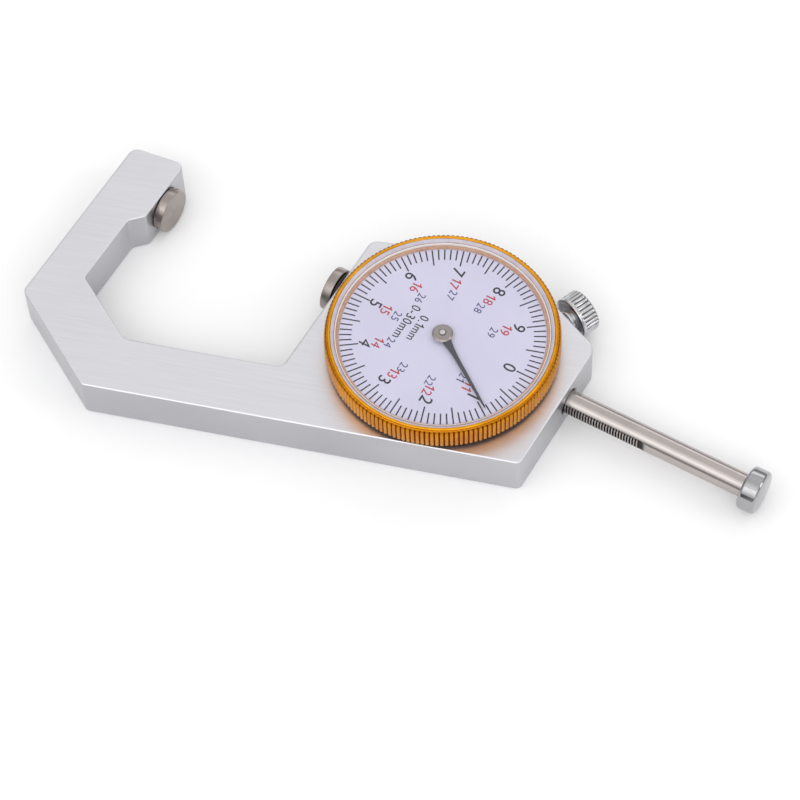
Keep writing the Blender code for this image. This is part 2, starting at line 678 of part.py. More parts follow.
def knob_loop(profile):
    """Order a cup's outline so that it starts and ends on the axis."""
    first = next(i for i, (r, _) in enumerate(profile) if r == 0.0)
    return [profile[first + 1]] + profile[first + 2:] + profile[:first + 1]


def involute(radius):
    """Polar angle that an involute has turned through at a radius."""
    base = PINION_R * math.cos(PRESSURE_ANGLE)
    pressure = math.acos(min(1.0, base / radius))
    return math.tan(pressure) - pressure


def pinion_outline():
    """Involute teeth, with one tooth pointing along +Y at the rack."""
    base = PINION_R * math.cos(PRESSURE_ANGLE)
    root = PINION_R - DEDENDUM
    tip = PINION_R + ADDENDUM - BACKLASH
    half_pitch = math.pi / (2 * PINION_TEETH) - BACKLASH / (2 * PINION_R)
    middle = involute(PINION_R)
    flank = [(root, half_pitch + middle)]
    for i in range(3):
        r = base + (tip - base) * i / 2
        flank.append((r, half_pitch + middle - involute(r)))
    points = []
    for tooth in range(PINION_TEETH):
        centre = math.pi / 2 + math.tau * tooth / PINION_TEETH
        points += [(r, centre - a) for r, a in flank]
        points += [(r, centre + a) for r, a in reversed(flank)]
    return [(r * math.cos(a), r * math.sin(a)) for r, a in points]


def make_pointer(pointer_axis):
    """The pinion on its arbor, with the pointer and hub pressed on top."""
    gear_z = SPINDLE_Z - GEAR_W / 2
    pinion = finish(extruded_mesh(pinion_outline(), gear_z, gear_z + GEAR_W),
                    "pinion_arbor", "polished_steel", pointer_axis)
    foot = BEARING_LOW + 0.2
    shoulder_low = BEARING_TOP + SEAT_GAP
    shoulder_high = BRIDGE_Z - SEAT_GAP
    top = HUB_Z + HUB_T + 0.05
    arbor = [(0.0, foot), (PIVOT_R, foot), (PIVOT_R, shoulder_low), (ARBOR_R, shoulder_low),
             (ARBOR_R, shoulder_high), (PIVOT_R, shoulder_high), (PIVOT_R, top), (0.0, top)]
    boolean(pinion, cutter(turned_mesh(arbor, 16), "arbor_tool", pointer_axis), "UNION")

    hub_hole = PIVOT_R + SEAT_GAP / 2
    blade_top = POINTER_Z + POINTER_T
    slot_low = POINTER_Z - SEAT_GAP / 2
    slot_high = blade_top + SEAT_GAP / 2
    neck = HUB_R * 0.6
    hub = [(hub_hole, HUB_Z), (HUB_R * 0.8, HUB_Z), (HUB_R * 0.8, slot_low), (neck, slot_low),
           (neck, slot_high), (HUB_R, slot_high), (HUB_R, HUB_Z + HUB_T - 0.1),
           (HUB_R - 0.1, HUB_Z + HUB_T), (hub_hole, HUB_Z + HUB_T)]
    turned("pointer_hub", hub, "turned_steel", pointer_axis, 20)

    bm = extruded_mesh(pointer_outline(neck + SEAT_GAP / 2), POINTER_Z, blade_top)
    blade = finish(bm, "pointer_blade", "pointer_grey", pointer_axis, smooth=0)
    hole = [(0.0, POINTER_Z - 0.5), (neck + SEAT_GAP / 2, POINTER_Z - 0.5),
            (neck + SEAT_GAP / 2, blade_top + 0.5), (0.0, blade_top + 0.5)]
    boolean(blade, cutter(turned_mesh(hole, 20), "blade_hole_tool", pointer_axis))


def pointer_outline(hole_r):
    """A round eye round the hub's neck with a blade that tapers to a blunt point."""
    eye_r = hole_r + 0.35
    root = POINTER_ROOT_W / 2
    tip = POINTER_TIP_W / 2
    start = math.asin(root / eye_r)
    eye = [(eye_r * math.cos(a), eye_r * math.sin(a))
           for a in (start + (math.tau - 2 * start) * i / 18 for i in range(19))]
    return eye + [(POINTER_L - 0.4, -tip), (POINTER_L, 0.0), (POINTER_L - 0.4, tip)]


def make_lock(lock_fixed, lock_axis_empty, spindle_axis):
    """The knurled lock screw, its threaded bush in the shoulder and the pad on its tip."""
    bush = [(LOCK_SHANK_R + RUN_GAP, -LOCK_BUSH_L), (LOCK_BUSH_R, -LOCK_BUSH_L),
            (LOCK_BUSH_R, LOCK_BUSH_PROUD - 0.2), (LOCK_BUSH_R - 0.2, LOCK_BUSH_PROUD),
            (LOCK_SHANK_R + RUN_GAP, LOCK_BUSH_PROUD)]
    turned("lock_bush", bush, "chrome", lock_fixed, 24)

    pad_face = -lock_reach() + 1.0
    pad_back = -lock_reach() + SPINDLE_R / math.cos(ROOF_ANGLE) + LOCK_PAD_GAP + LOCK_PAD_L
    head_low = LOCK_HEAD_LIFT
    head_high = LOCK_HEAD_LIFT + LOCK_HEAD_T
    edge = 0.25
    screw = [(0.0, pad_back + SEAT_GAP), (LOCK_SHANK_R, pad_back + SEAT_GAP),
             (LOCK_SHANK_R, head_low), (LOCK_HEAD_R - edge, head_low),
             (LOCK_HEAD_R, head_low + edge), (LOCK_HEAD_R, head_high - edge),
             (LOCK_HEAD_R - edge, head_high), (0.0, head_high)]
    turned("lock_screw", screw, "chrome", lock_axis_empty, 24)

    pad = turned("lock_pad", disc_profile(LOCK_SHANK_R, pad_face, pad_back), "brass",
                 lock_axis_empty, 20)
    saddle = turned_mesh(disc_profile(SPINDLE_R + LOCK_PAD_GAP, -BODY_LEFT, BODY_RIGHT), 48)
    boolean(pad, cutter(saddle, "saddle_tool", spindle_axis))


def main():
    """Build the gauge at its fully open position."""
    clear_scene()
    along_x = (0.0, math.pi / 2, 0.0)
    spindle_fixed = axis_empty("spindle_line", 0, SPINDLE_Y, SPINDLE_Z, along_x)
    spindle_axis = axis_empty("spindle_axis", 0, SPINDLE_Y, SPINDLE_Z, along_x)
    pointer_axis = axis_empty("pointer_axis", 0, 0, 0, (0.0, 0.0, 0.0))
    x, y, z, rotation = lock_axis()
    lock_fixed = axis_empty("lock_line", x, y, z, rotation)
    lock_axis_empty = axis_empty("lock_axis", x, y, z, rotation)

    make_frame(spindle_fixed, lock_fixed)
    make_anvil(spindle_fixed)
    make_bushes(spindle_fixed)
    make_movement()
    make_case()
    make_bezel()
    make_spindle(spindle_axis)
    make_pointer(pointer_axis)
    make_lock(lock_fixed, lock_axis_empty, spindle_fixed)
    bpy.data.objects["pointer_blade"].rotation_euler.z = POINTER_ANGLE
    bpy.data.objects["blade_hole_tool"].rotation_euler.z = POINTER_ANGLE
    bpy.context.view_layer.update()


main()
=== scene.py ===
import json
import math

import bmesh
import bpy
from mathutils import Euler, Matrix, Vector


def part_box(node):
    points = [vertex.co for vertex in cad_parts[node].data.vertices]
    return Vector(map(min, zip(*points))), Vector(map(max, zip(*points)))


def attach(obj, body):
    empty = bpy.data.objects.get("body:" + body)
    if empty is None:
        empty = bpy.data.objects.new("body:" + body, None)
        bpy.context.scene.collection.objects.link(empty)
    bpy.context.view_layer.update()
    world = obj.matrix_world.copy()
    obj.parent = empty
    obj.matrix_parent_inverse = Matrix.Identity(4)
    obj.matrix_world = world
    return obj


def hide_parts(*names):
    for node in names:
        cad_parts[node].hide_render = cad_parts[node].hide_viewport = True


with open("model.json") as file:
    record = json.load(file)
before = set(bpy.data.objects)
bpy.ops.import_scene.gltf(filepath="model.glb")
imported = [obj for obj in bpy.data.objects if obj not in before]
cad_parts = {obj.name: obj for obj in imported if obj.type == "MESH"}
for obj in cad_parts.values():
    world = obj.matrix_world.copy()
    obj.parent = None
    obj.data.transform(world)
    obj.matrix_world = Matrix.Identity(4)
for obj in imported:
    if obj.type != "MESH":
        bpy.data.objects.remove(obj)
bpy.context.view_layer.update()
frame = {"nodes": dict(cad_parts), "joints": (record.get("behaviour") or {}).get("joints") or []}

mm = 0.001  # shapes below are made in millimetres
scene = bpy.context.scene
fullTurn = math.tau
print("frame loaded:", len(frame["nodes"]), "nodes")


def boxOf(node):
    low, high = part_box(node)
    return low / mm, high / mm


plateTop = boxOf("frame")[1].z
spindleLow, spindleHigh = boxOf("spindle")
rodZ = (spindleLow.z + spindleHigh.z) / 2
rodR = (spindleHigh.z - spindleLow.z) / 2
rodY = spindleHigh.y - rodR  # the rack's flat is on the low side
rodAxis = Matrix.Translation((0, rodY, rodZ)) @ Matrix.Rotation(math.pi / 2, 4, "Y")


class Value:
    # one socket's value; arithmetic on it adds Math nodes
    def __init__(self, shading, socket):
        self.shading = shading
        self.socket = socket

    def __add__(self, other):
        return self.shading.maths("ADD", self, other)

    __radd__ = __add__

    def __sub__(self, other):
        return self.shading.maths("SUBTRACT", self, other)

    def __rsub__(self, other):
        return self.shading.maths("SUBTRACT", other, self)

    def __mul__(self, other):
        return self.shading.maths("MULTIPLY", self, other)

    __rmul__ = __mul__

    def __pow__(self, other):
        return self.shading.maths("POWER", self, other)


class Shading:
    # a node tree that is built up by expressions
    def __init__(self, tree):
        self.tree = tree

    def feed(self, socket, value):
        if isinstance(value, Value):
            self.tree.links.new(value.socket, socket)
        elif isinstance(value, tuple) and len(value) == 3 and socket.type == "RGBA":
            socket.default_value = (*value, 1.0)
        else:
            socket.default_value = value

    def node(self, kind, settings, inputs, output=0):
        made = self.tree.nodes.new(kind)
        for name, value in settings.items():
            if name == "stops":  # places and greys along a ramp
                ramp = made.color_ramp.elements
                while len(ramp) < len(value):
                    ramp.new(0.5)
                for stop, (place, grey) in zip(ramp, value):
                    stop.position = place
                    stop.color = (grey, grey, grey, 1.0)
            else:
                setattr(made, name, value)
        for name, value in inputs.items():
            self.feed(made.inputs[name], value)
        return Value(self, made.outputs[output])

    def maths(self, operation, a, b=0.0):
        return self.node("ShaderNodeMath", {"operation": operation}, {0: a, 1: b})

    def between(self, value, low, high):
        # 0 below low, 1 above high, smooth in the middle
        return self.node("ShaderNodeMapRange", {"interpolation_type": "SMOOTHSTEP"},
                         {"Value": value, "From Min": low, "From Max": high})

    def part(self, vector, axis):
        return self.node("ShaderNodeSeparateXYZ", {}, {"Vector": vector}, axis)


class Finish(Shading):
    # a Principled material
    def __init__(self, name, colour, roughness, metallic=0.0, **fixed):
        self.material = bpy.data.materials.new(name)
        self.material.use_nodes = True
        super().__init__(self.material.node_tree)
        self.shader = self.tree.nodes["Principled BSDF"]
        self.use("Base Color", colour)
        self.use("Roughness", roughness)
        self.use("Metallic", metallic)
        for socket, value in fixed.items():
            self.use(socket, value)

    def mix(self, share, a, b):
        return self.node("ShaderNodeMix", {"data_type": "RGBA"}, {0: share, 6: a, 7: b}, 2)

    def place(self):
        return self.node("ShaderNodeTexCoord", {}, {}, "Object")

    def moved(self, location=(0, 0, 0), turn=(0, 0, 0), scale=(1, 1, 1)):
        # turned and shifted first, and stretched after that
        turned = self.node("ShaderNodeMapping", {},
                           {"Vector": self.place(), "Location": location, "Rotation": turn})
        if scale == (1, 1, 1):
            return turned
        return self.node("ShaderNodeMapping", {}, {"Vector": turned, "Scale": scale})

    def noise(self, scale, detail=3.0, vector=None, rough=0.55):
        return self.node("ShaderNodeTexNoise", {},
                         {"Vector": vector or self.place(), "Scale": scale, "Detail": detail,
                          "Roughness": rough})

    def axisDistance(self, centre, across, turn=(0, 0, 0)):
        # distance from an axis in metres; across names the two directions square to it
        vector = self.moved(location=tuple(-c for c in centre), turn=turn)
        a, b = (self.part(vector, name) for name in across)
        return (a * a + b * b) ** 0.5

    def bump(self, height, strength, distance):
        self.use("Normal", self.node("ShaderNodeBump", {}, {
            "Height": height, "Strength": strength, "Distance": distance}))

    def use(self, socket, value):
        self.feed(self.shader.inputs[socket], value)


print("materials")
rodCentre = (0, rodY * mm, rodZ * mm)

# colours are linear, and lengths in the looks are in millimetres
# the side colours are a darker copy of the top's aluminium: painted shade on the walls
plateLook = {
    "topDark": (0.70, 0.695, 0.73), "topLight": (0.79, 0.785, 0.815), "cloud": (0.65, 0.65, 0.69),
    "side": (0.485, 0.485, 0.505), "sideLight": (0.54, 0.54, 0.56), "brushAngle": 17.7,
    "pit": (0.36, 0.36, 0.38), "topRough": 0.36, "sideRough": 0.30, "edgeRough": 0.42,
    "edgeStart": 0.05, "edgeEnd": 0.35,
}


def makePlateFinish():
    f = Finish("plateAluminium", plateLook["topLight"], 0.35, 1.0)
    turn = math.radians(-plateLook["brushAngle"])
    streaks = f.noise(1.0, 5.0, f.moved(turn=(0, 0, turn), scale=(110, 9000, 110)), 0.62)
    long = f.noise(1.0, 3.0, f.moved(turn=(0, 0, turn), scale=(30, 2400, 30)), 0.5)
    cloud = f.noise(38.0, 4.0)
    grain = f.noise(2600.0, 2.0)
    pits = f.between(f.noise(1100.0, 1.0), 0.77, 0.83)
    height = f.part(f.place(), "Z")
    edgeStart, edgeEnd = plateLook["edgeStart"], plateLook["edgeEnd"]
    face = f.between(height, (plateTop - edgeEnd) * mm, (plateTop - edgeStart) * mm)
    foot = 1 - f.between(height, edgeStart * mm, edgeEnd * mm)
    flat = face + foot
    lines = streaks * 0.7 + long * 0.3
    top = f.mix(f.between(lines, 0.25, 0.75), plateLook["topDark"], plateLook["topLight"])
    top = f.mix(f.between(cloud, 0.45, 0.8) * 0.3, top, plateLook["cloud"])
    # painted shade: the side walls get the darker copy of the aluminium
    side = f.mix(f.between(cloud, 0.35, 0.7), plateLook["side"], plateLook["sideLight"])
    colour = f.mix(flat, side, top)
    colour = f.mix(pits * 0.35, colour, plateLook["pit"])
    f.use("Base Color", colour)
    rough = flat * (plateLook["topRough"] - 0.07 + lines * 0.16)
    edge = flat * (1 - flat) * 4 * plateLook["edgeRough"]
    f.use("Roughness", rough + (1 - flat) * (plateLook["sideRough"] + grain * 0.1) + edge)
    f.bump(flat * lines + (1 - flat) * (grain * 0.25 + cloud * 2.0) - pits * 0.5, 0.32, 0.00004)
    return f.material


# the groove colour is painted shade down in the grooves, and the side colours are a darker copy of
# the top's gold, painted shade on the knurled wall
goldLook = {
    "ridge": (0.82, 0.375, 0.022), "tarnish": (0.71, 0.295, 0.014), "groove": (0.30, 0.09, 0.004),
    "side": (0.64, 0.26, 0.010), "shadedSideTarnish": (0.55, 0.20, 0.007), "rough": 0.22,
    "crownStart": 0.34, "crownEnd": 0.2,
}


def makeGoldFinish(outer, top, depth):
    # painted shade: full gold on top, a darker copy on the knurled wall's crests, and darker still
    # down in the grooves
    f = Finish("goldAnodised", goldLook["ridge"], goldLook["rough"], 1.0)
    radius = f.axisDistance((0, 0, 0), "XY")
    worn = f.noise(420.0, 4.0)
    rise = f.between(radius, (outer - depth) * mm, (outer - 0.25 * depth) * mm)
    crown = f.between(f.part(f.place(), "Z"), (top - goldLook["crownStart"]) * mm,
                      (top - goldLook["crownEnd"]) * mm)
    up = f.maths("MAXIMUM", rise, crown)
    wear = f.between(worn, 0.35, 0.7)
    bright = f.mix(wear, goldLook["ridge"], goldLook["tarnish"])
    # painted shade: the wall below the crown gets the darker copy, the grooves the dark colour
    body = f.mix(crown, f.mix(wear, goldLook["side"], goldLook["shadedSideTarnish"]), bright)
    f.use("Base Color", f.mix(up, goldLook["groove"], body))
    grain = f.noise(1.0, 3.0, f.moved(scale=(2600, 2600, 500)))
    f.use("Roughness", goldLook["rough"] + worn * 0.12 - 0.04)
    f.bump(grain + worn * 0.5, 0.16, 0.00003)
    return f.material


def makeTurnedFinish(name, colour, dark, centre, across, rough, pitch):
    # fine rings round the piece's own axis
    f = Finish(name, colour, rough, 1.0)
    radius = f.axisDistance(centre, across)
    wobble = f.noise(700.0, 3.0)
    rings = f.maths("SINE", radius * (fullTurn / (pitch * mm)) + wobble * 5.0) * 0.5 + 0.5
    fine = f.maths("SINE", radius * (fullTurn / (0.4 * pitch * mm)) + wobble * 3.0) * 0.5 + 0.5
    cloud = f.noise(260.0, 4.0)
    f.use("Base Color", f.mix(f.between(cloud, 0.3, 0.75) * 0.6 + rings * 0.25, colour, dark))
    f.use("Roughness", rough + rings * 0.07 + cloud * 0.08 - 0.05)
    f.bump(rings * 0.6 + fine * 0.4, 0.22, 0.00002)
    return f.material


def makeGroundFinish(name, colour, dark, rough, grain):
    # ground and polished, with a faint grain
    f = Finish(name, colour, rough, 1.0)
    lines = f.noise(1.0, 4.0, f.moved(scale=grain), 0.6)
    cloud = f.noise(160.0, 3.0)
    f.use("Base Color", f.mix(f.between(cloud, 0.35, 0.75) * 0.5 + lines * 0.2, colour, dark))
    f.use("Roughness", rough + lines * 0.09 + cloud * 0.05 - 0.05)
    f.bump(lines, 0.12, 0.00002)
    return f.material


# the near-black colour down between the rack's teeth is painted shade
rodLook = {
    "steel": (0.49, 0.45, 0.435), "shade": (0.40, 0.365, 0.35), "toothShade": (0.035, 0.03, 0.028),
    "rough": 0.15, "rackStart": -2.0, "toothShadeLow": 1.3, "toothShadeHigh": 0.44, "toothShadeEnd": 0.2,
}


def makeRodFinish():
    # polished stainless with lengthwise lines, and painted shade down between the teeth
    f = Finish("rodSteel", rodLook["steel"], rodLook["rough"], 1.0)
    lines = f.noise(1.0, 4.0, f.moved(scale=(90, 2400, 2400)), 0.6)
    cloud = f.noise(160.0, 3.0)
    radius = f.axisDistance(rodCentre, "YZ")
    depth = rodCentre[1] - f.part(f.place(), "Y")
    deep = 1 - f.between(depth, (rodR - rodLook["toothShadeHigh"]) * mm,
                         (rodR - rodLook["toothShadeEnd"]) * mm)
    cut = f.between(f.part(f.place(), "X"), rodLook["rackStart"] * mm,
                    (rodLook["rackStart"] + 0.1) * mm)
    rack = deep * cut * f.between(depth, rodLook["toothShadeLow"] * mm,
                                  (rodLook["toothShadeLow"] + 0.12) * mm)
    rack = rack * (1 - f.between(radius, (rodR - 0.06) * mm, (rodR - 0.02) * mm))
    steel = f.mix(f.between(cloud, 0.35, 0.75) * 0.5 + lines * 0.2, rodLook["steel"],
                  rodLook["shade"])
    # painted shade: the dark colour down between the teeth
    f.use("Base Color", f.mix(rack, steel, rodLook["toothShade"]))
    f.use("Roughness", rodLook["rough"] + lines * 0.09 + cloud * 0.05 + rack * 0.3)
    f.bump(lines, 0.12, 0.00002)
    return f.material


# the groove colour is painted shade down in the flutes
flutedLook = {
    "bright": (0.54, 0.54, 0.555), "worn": (0.62, 0.62, 0.64), "groove": (0.10, 0.095, 0.09),
    "face": (0.40, 0.40, 0.415), "rough": 0.2, "faceStart": 1.9, "faceEnd": 0.6,
}


def makeFlutedFinish(place, tip, depth):
    # bright plating with painted shade down in the flutes, and satin on the flat faces
    f = Finish("flutedChrome", flutedLook["bright"], flutedLook["rough"], 1.0)
    inward = place.inverted()
    radius = f.axisDistance(tuple(-v * mm for v in inward.to_translation()), "XY",
                            tuple(inward.to_euler()))
    cloud = f.noise(240.0, 3.0)
    high = f.between(radius, (tip - depth) * mm, (tip - 0.35 * depth) * mm)
    rim = 1 - f.between(radius, (tip - 1.6 * depth) * mm, (tip - 1.3 * depth) * mm)
    up = f.maths("MAXIMUM", high, rim)
    inner = f.between(radius, flutedLook["faceStart"] * mm, (flutedLook["faceStart"] + 0.1) * mm)
    face = inner * (1 - f.between(radius, (tip - flutedLook["faceEnd"] - 0.15) * mm,
                                  (tip - flutedLook["faceEnd"]) * mm))
    bright = f.mix(f.between(cloud, 0.3, 0.8), flutedLook["bright"], flutedLook["worn"])
    # painted shade: the dark colour down in the flutes
    f.use("Base Color", f.mix(up, flutedLook["groove"], f.mix(face, bright, flutedLook["face"])))
    f.use("Roughness", flutedLook["rough"] - up * 0.1 + face * 0.24 + cloud * 0.05)
    f.bump(cloud, 0.1, 0.00002)
    return f.material


def makePrintFinish(name, colour, faded):
    f = Finish(name, colour, 0.42)
    ink = f.noise(2200.0, 3.0)
    f.use("Base Color", f.mix(f.between(ink, 0.42, 0.78), colour, faded))
    f.use("Roughness", 0.36 + ink * 0.14)
    return f.material


dialLook = {"enamel": (0.69, 0.67, 0.845), "cloud": (0.65, 0.63, 0.805), "rough": 0.34}


def makeDialFinish():
    f = Finish("dialEnamel", dialLook["enamel"], dialLook["rough"])
    cloud = f.noise(90.0, 4.0)
    speck = f.noise(3000.0, 2.0)
    f.use("Base Color", f.mix(f.between(cloud, 0.3, 0.75), dialLook["enamel"],
                              dialLook["cloud"]))
    f.use("Roughness", dialLook["rough"] + speck * 0.1)
    f.bump(speck, 0.05, 0.00001)
    return f.material


def makeCrystalFinish():
    f = Finish("clearAcrylic", (0.3, 0.3, 0.33), 0.03, 0.0, IOR=1.8, Alpha=0.05)
    smear = f.noise(120.0, 3.0)
    f.use("Roughness", 0.015 + smear * 0.05)
    return f.material


# the white inner colour is a painted highlight, and the brown one a painted reflection of the gold
# bezel
rimLook = {
    "paintedHighlight": (0.92, 0.88, 0.86), "frost": (0.60, 0.555, 0.62), "cloud": (0.52, 0.475, 0.545),
    "line": (0.34, 0.19, 0.13), "rough": 0.16,
    "highlightFrom": 17.33, "highlightTo": 17.38, "lineFrom": 17.42, "lineTo": 17.56,
}


def makeRimFinish():
    # the crystal's moulded edge: a painted white highlight inside, a thin brown painted reflection
    # of the gold bezel, frosted and pale outside
    f = Finish("frostedRim", rimLook["frost"], rimLook["rough"])
    radius = f.axisDistance((0, 0, 0), "XY")
    cloud = f.noise(700.0, 3.0)
    outside = f.between(radius, rimLook["highlightFrom"] * mm, rimLook["highlightTo"] * mm)
    line = 1 - f.between(radius, rimLook["lineFrom"] * mm, rimLook["lineTo"] * mm)
    pale = f.mix(f.between(cloud, 0.35, 0.7), rimLook["frost"], rimLook["cloud"])
    # painted reflection of the gold bezel as a thin brown ring, and a painted white highlight
    # inside
    pale = f.mix(line * 0.85, pale, rimLook["line"])
    f.use("Base Color", f.mix(outside, rimLook["paintedHighlight"], pale))
    f.use("Roughness", rimLook["rough"] + cloud * 0.12)
    return f.material


def makeSoftFinish(name, colour, other, rough, scale):
    f = Finish(name, colour, rough)
    cloud = f.noise(scale, 4.0)
    f.use("Base Color", f.mix(f.between(cloud, 0.35, 0.7), colour, other))
    f.use("Roughness", rough - 0.05 + cloud * 0.12)
    f.bump(cloud, 0.12, 0.00003)
    return f.material


finishes = {
    "plate": makePlateFinish(),
    "case": makeTurnedFinish("caseAluminium", (0.74, 0.74, 0.76), (0.6, 0.6, 0.63), (0, 0, 0),
                             "XY", 0.3, 0.2),
    "disc": makeTurnedFinish("discSteel", (0.39, 0.34, 0.32), (0.29, 0.255, 0.24), rodCentre,
                             "YZ", 0.25, 0.14),
    "hub": makeTurnedFinish("hubNickel", (0.42, 0.37, 0.345), (0.32, 0.28, 0.265), (0, 0, 0),
                            "XY", 0.26, 0.16),
    "rod": makeRodFinish(),
    "pin": makeGroundFinish("pinSteel", (0.74, 0.72, 0.70), (0.60, 0.58, 0.56), 0.18,
                            (900, 900, 900)),
    "screw": makeGroundFinish("screwSteel", (0.58, 0.57, 0.57), (0.44, 0.43, 0.43), 0.3,
                              (700, 700, 700)),
    "chrome": makeGroundFinish("brightChrome", (0.42, 0.415, 0.43), (0.345, 0.34, 0.35), 0.09,
                               (260, 260, 260)),
    "brass": makeGroundFinish("drawnBrass", (0.70, 0.50, 0.19), (0.56, 0.38, 0.13), 0.3,
                              (500, 500, 500)),
    "bronze": makeGroundFinish("bushBronze", (0.36, 0.24, 0.15), (0.22, 0.14, 0.08), 0.38,
                               (500, 500, 500)),
    "pointer": makeGroundFinish("pointerGrey", (0.105, 0.105, 0.115), (0.07, 0.07, 0.08), 0.34,
                                (700, 700, 200)),
    "rubber": makeSoftFinish("blackRubber", (0.012, 0.012, 0.013), (0.03, 0.03, 0.031), 0.6,
                             1500.0),
    "gasket": makeSoftFinish("tanGasket", (0.60, 0.36, 0.24), (0.50, 0.27, 0.17), 0.4, 900.0),
    "rim": makeRimFinish(),
    "dial": makeDialFinish(),
    "black": makePrintFinish("printBlack", (0.012, 0.012, 0.016), (0.035, 0.035, 0.042)),
    "red": makePrintFinish("printRed", (0.47, 0.035, 0.05), (0.56, 0.08, 0.095)),
    "blue": makePrintFinish("printBlue", (0.05, 0.05, 0.17), (0.09, 0.09, 0.23)),
    "crystal": makeCrystalFinish(),
}


def turnedMesh(profile, steps=72, arc=3):
    # spins a closed (radius, height, rounding) outline about Z
    bm = bmesh.new()
    corners = [bm.verts.new((point[0], 0, point[1])) for point in profile]
    bm.faces.new(corners)
    for corner, point in zip(corners, profile):
        if len(point) > 2:
            bmesh.ops.bevel(bm, geom=[corner], offset=point[2], offset_type="OFFSET",
                            segments=arc, profile=0.5, affect="VERTICES", material=-1)
    bmesh.ops.delete(bm, geom=bm.faces[:], context="FACES_ONLY")
    onAxis = [e for e in bm.edges if all(v.co.x < 1e-5 for v in e.verts)]
    bmesh.ops.delete(bm, geom=onAxis, context="EDGES")
    bmesh.ops.spin(bm, geom=bm.verts[:] + bm.edges[:], axis=(0, 0, 1), cent=(0, 0, 0),
                   angle=fullTurn, steps=steps, use_merge=True)
    bmesh.ops.remove_doubles(bm, verts=bm.verts, dist=1e-4)
    bmesh.ops.recalc_face_normals(bm, faces=bm.faces)
    return bm


def knurled(bm, steps, pattern, depth, inZone):
    # presses grooves into the wall: pattern gives the groove's share of depth step by step
    for vert in bm.verts:
        radius = math.hypot(vert.co.x, vert.co.y)
        share = inZone(radius, vert.co.z)
        if share:
            step = round(math.atan2(vert.co.y, vert.co.x) / fullTurn * steps)
            pressed = 1 - share * depth * pattern[step % len(pattern)] / radius
            vert.co.x *= pressed
            vert.co.y *= pressed
    return bm


def raised(bm, outline, way):
    # a flat outline drawn out into a solid
    face = bm.faces.new([bm.verts.new(point) for point in outline])
    lifted = bmesh.ops.extrude_face_region(bm, geom=[face])["geom"]
    bmesh.ops.translate(bm, vec=way, verts=[g for g in lifted if isinstance(g, bmesh.types.BMVert)])


def laid(bm, place):
    bmesh.ops.transform(bm, matrix=place, verts=bm.verts)
    return bm


def poured(source, target):
    # adds one shape to another and frees the first
    carrier = bpy.data.meshes.new("carrier")
    source.to_mesh(carrier)
    source.free()
    target.from_mesh(carrier)
    bpy.data.meshes.remove(carrier)


def asObject(bm, name):
    mesh = bpy.data.meshes.new(name)
    bm.to_mesh(mesh)
    bm.free()
    made = bpy.data.objects.new(name, mesh)
    scene.collection.objects.link(made)
    return made


def carved(bm, tools):
    # cuts tool shapes out of a shape and gives the result as a new bmesh
    body = asObject(bm, "carving")
    cutters = [asObject(tool, "cutter") for tool in tools]
    for cutter in cutters:
        cut = body.modifiers.new("cut", "BOOLEAN")
        cut.operation = "DIFFERENCE"
        cut.solver = "EXACT"
        cut.object = cutter
    bpy.context.view_layer.update()
    result = body.evaluated_get(bpy.context.evaluated_depsgraph_get()).to_mesh()
    out = bmesh.new()
    out.from_mesh(result)
    for gone in [body] + cutters:
        bpy.data.objects.remove(gone, do_unlink=True)
    bmesh.ops.remove_doubles(out, verts=out.verts, dist=1e-4)
    return out


def piece(bm, name, finish, body, slot, *stoodFor, sharp=32):
    bmesh.ops.scale(bm, vec=(mm, mm, mm), verts=bm.verts)
    made = asObject(bm, name)
    made.data.materials.append(finishes[finish])
    made.data.shade_smooth()
    made.data.set_sharp_from_angle(angle=math.radians(sharp))
    weighted = made.modifiers.new("flatFaces", "WEIGHTED_NORMAL")
    weighted.keep_sharp = True
    weighted.weight = 90
    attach(made, body)
    if stoodFor:
        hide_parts(*stoodFor)
    return made


# the plate's outline in degrees and millimetres, and its holes
plate = {
    "edge": 0.36, "edgeSteps": 3, "cornerSteps": 8, "roofAngle": 22.6, "roofPeak": 21.0,
    "railAngle": 17.7, "railWidth": 10.0, "railDrop": 15.9, "legAngle": 29.8, "legWidth": 9.9,
    "legDrop": 17.1, "armWidth": 7.5, "tipAngle": 7.9, "padRise": 2.1, "padAbove": 7.0,
    "padBelow": 5.4, "bodyLeft": 20.8, "boreGap": 0.25, "boreEase": 0.2, "mouthGap": 0.3,
    "arborFloor": 0.6, "arborR": 1.3, "pocketFloor": 1.8, "pocketR": 6.8, "ledgeR": 9.0,
    "guideR": 1.0, "guideMouth": 1.35, "screwDepth": 3.6, "screwR": 1.0,
    "discThick": 1.65, "studR": 1.3,
}
clear = 0.1  # the gap that keeps neighbouring pieces apart


def crossing(a, slopeA, b, slopeB):
    wayA = Vector((math.cos(slopeA), math.sin(slopeA)))
    wayB = Vector((math.cos(slopeB), math.sin(slopeB)))
    gap = Vector(b) - Vector(a)
    reach = (gap.x * wayB.y - gap.y * wayB.x) / (wayA.x * wayB.y - wayA.y * wayB.x)
    return tuple(Vector(a) + wayA * reach)


def shifted(point, slope, distance):
    return (point[0] + math.sin(slope) * distance, point[1] - math.cos(slope) * distance)


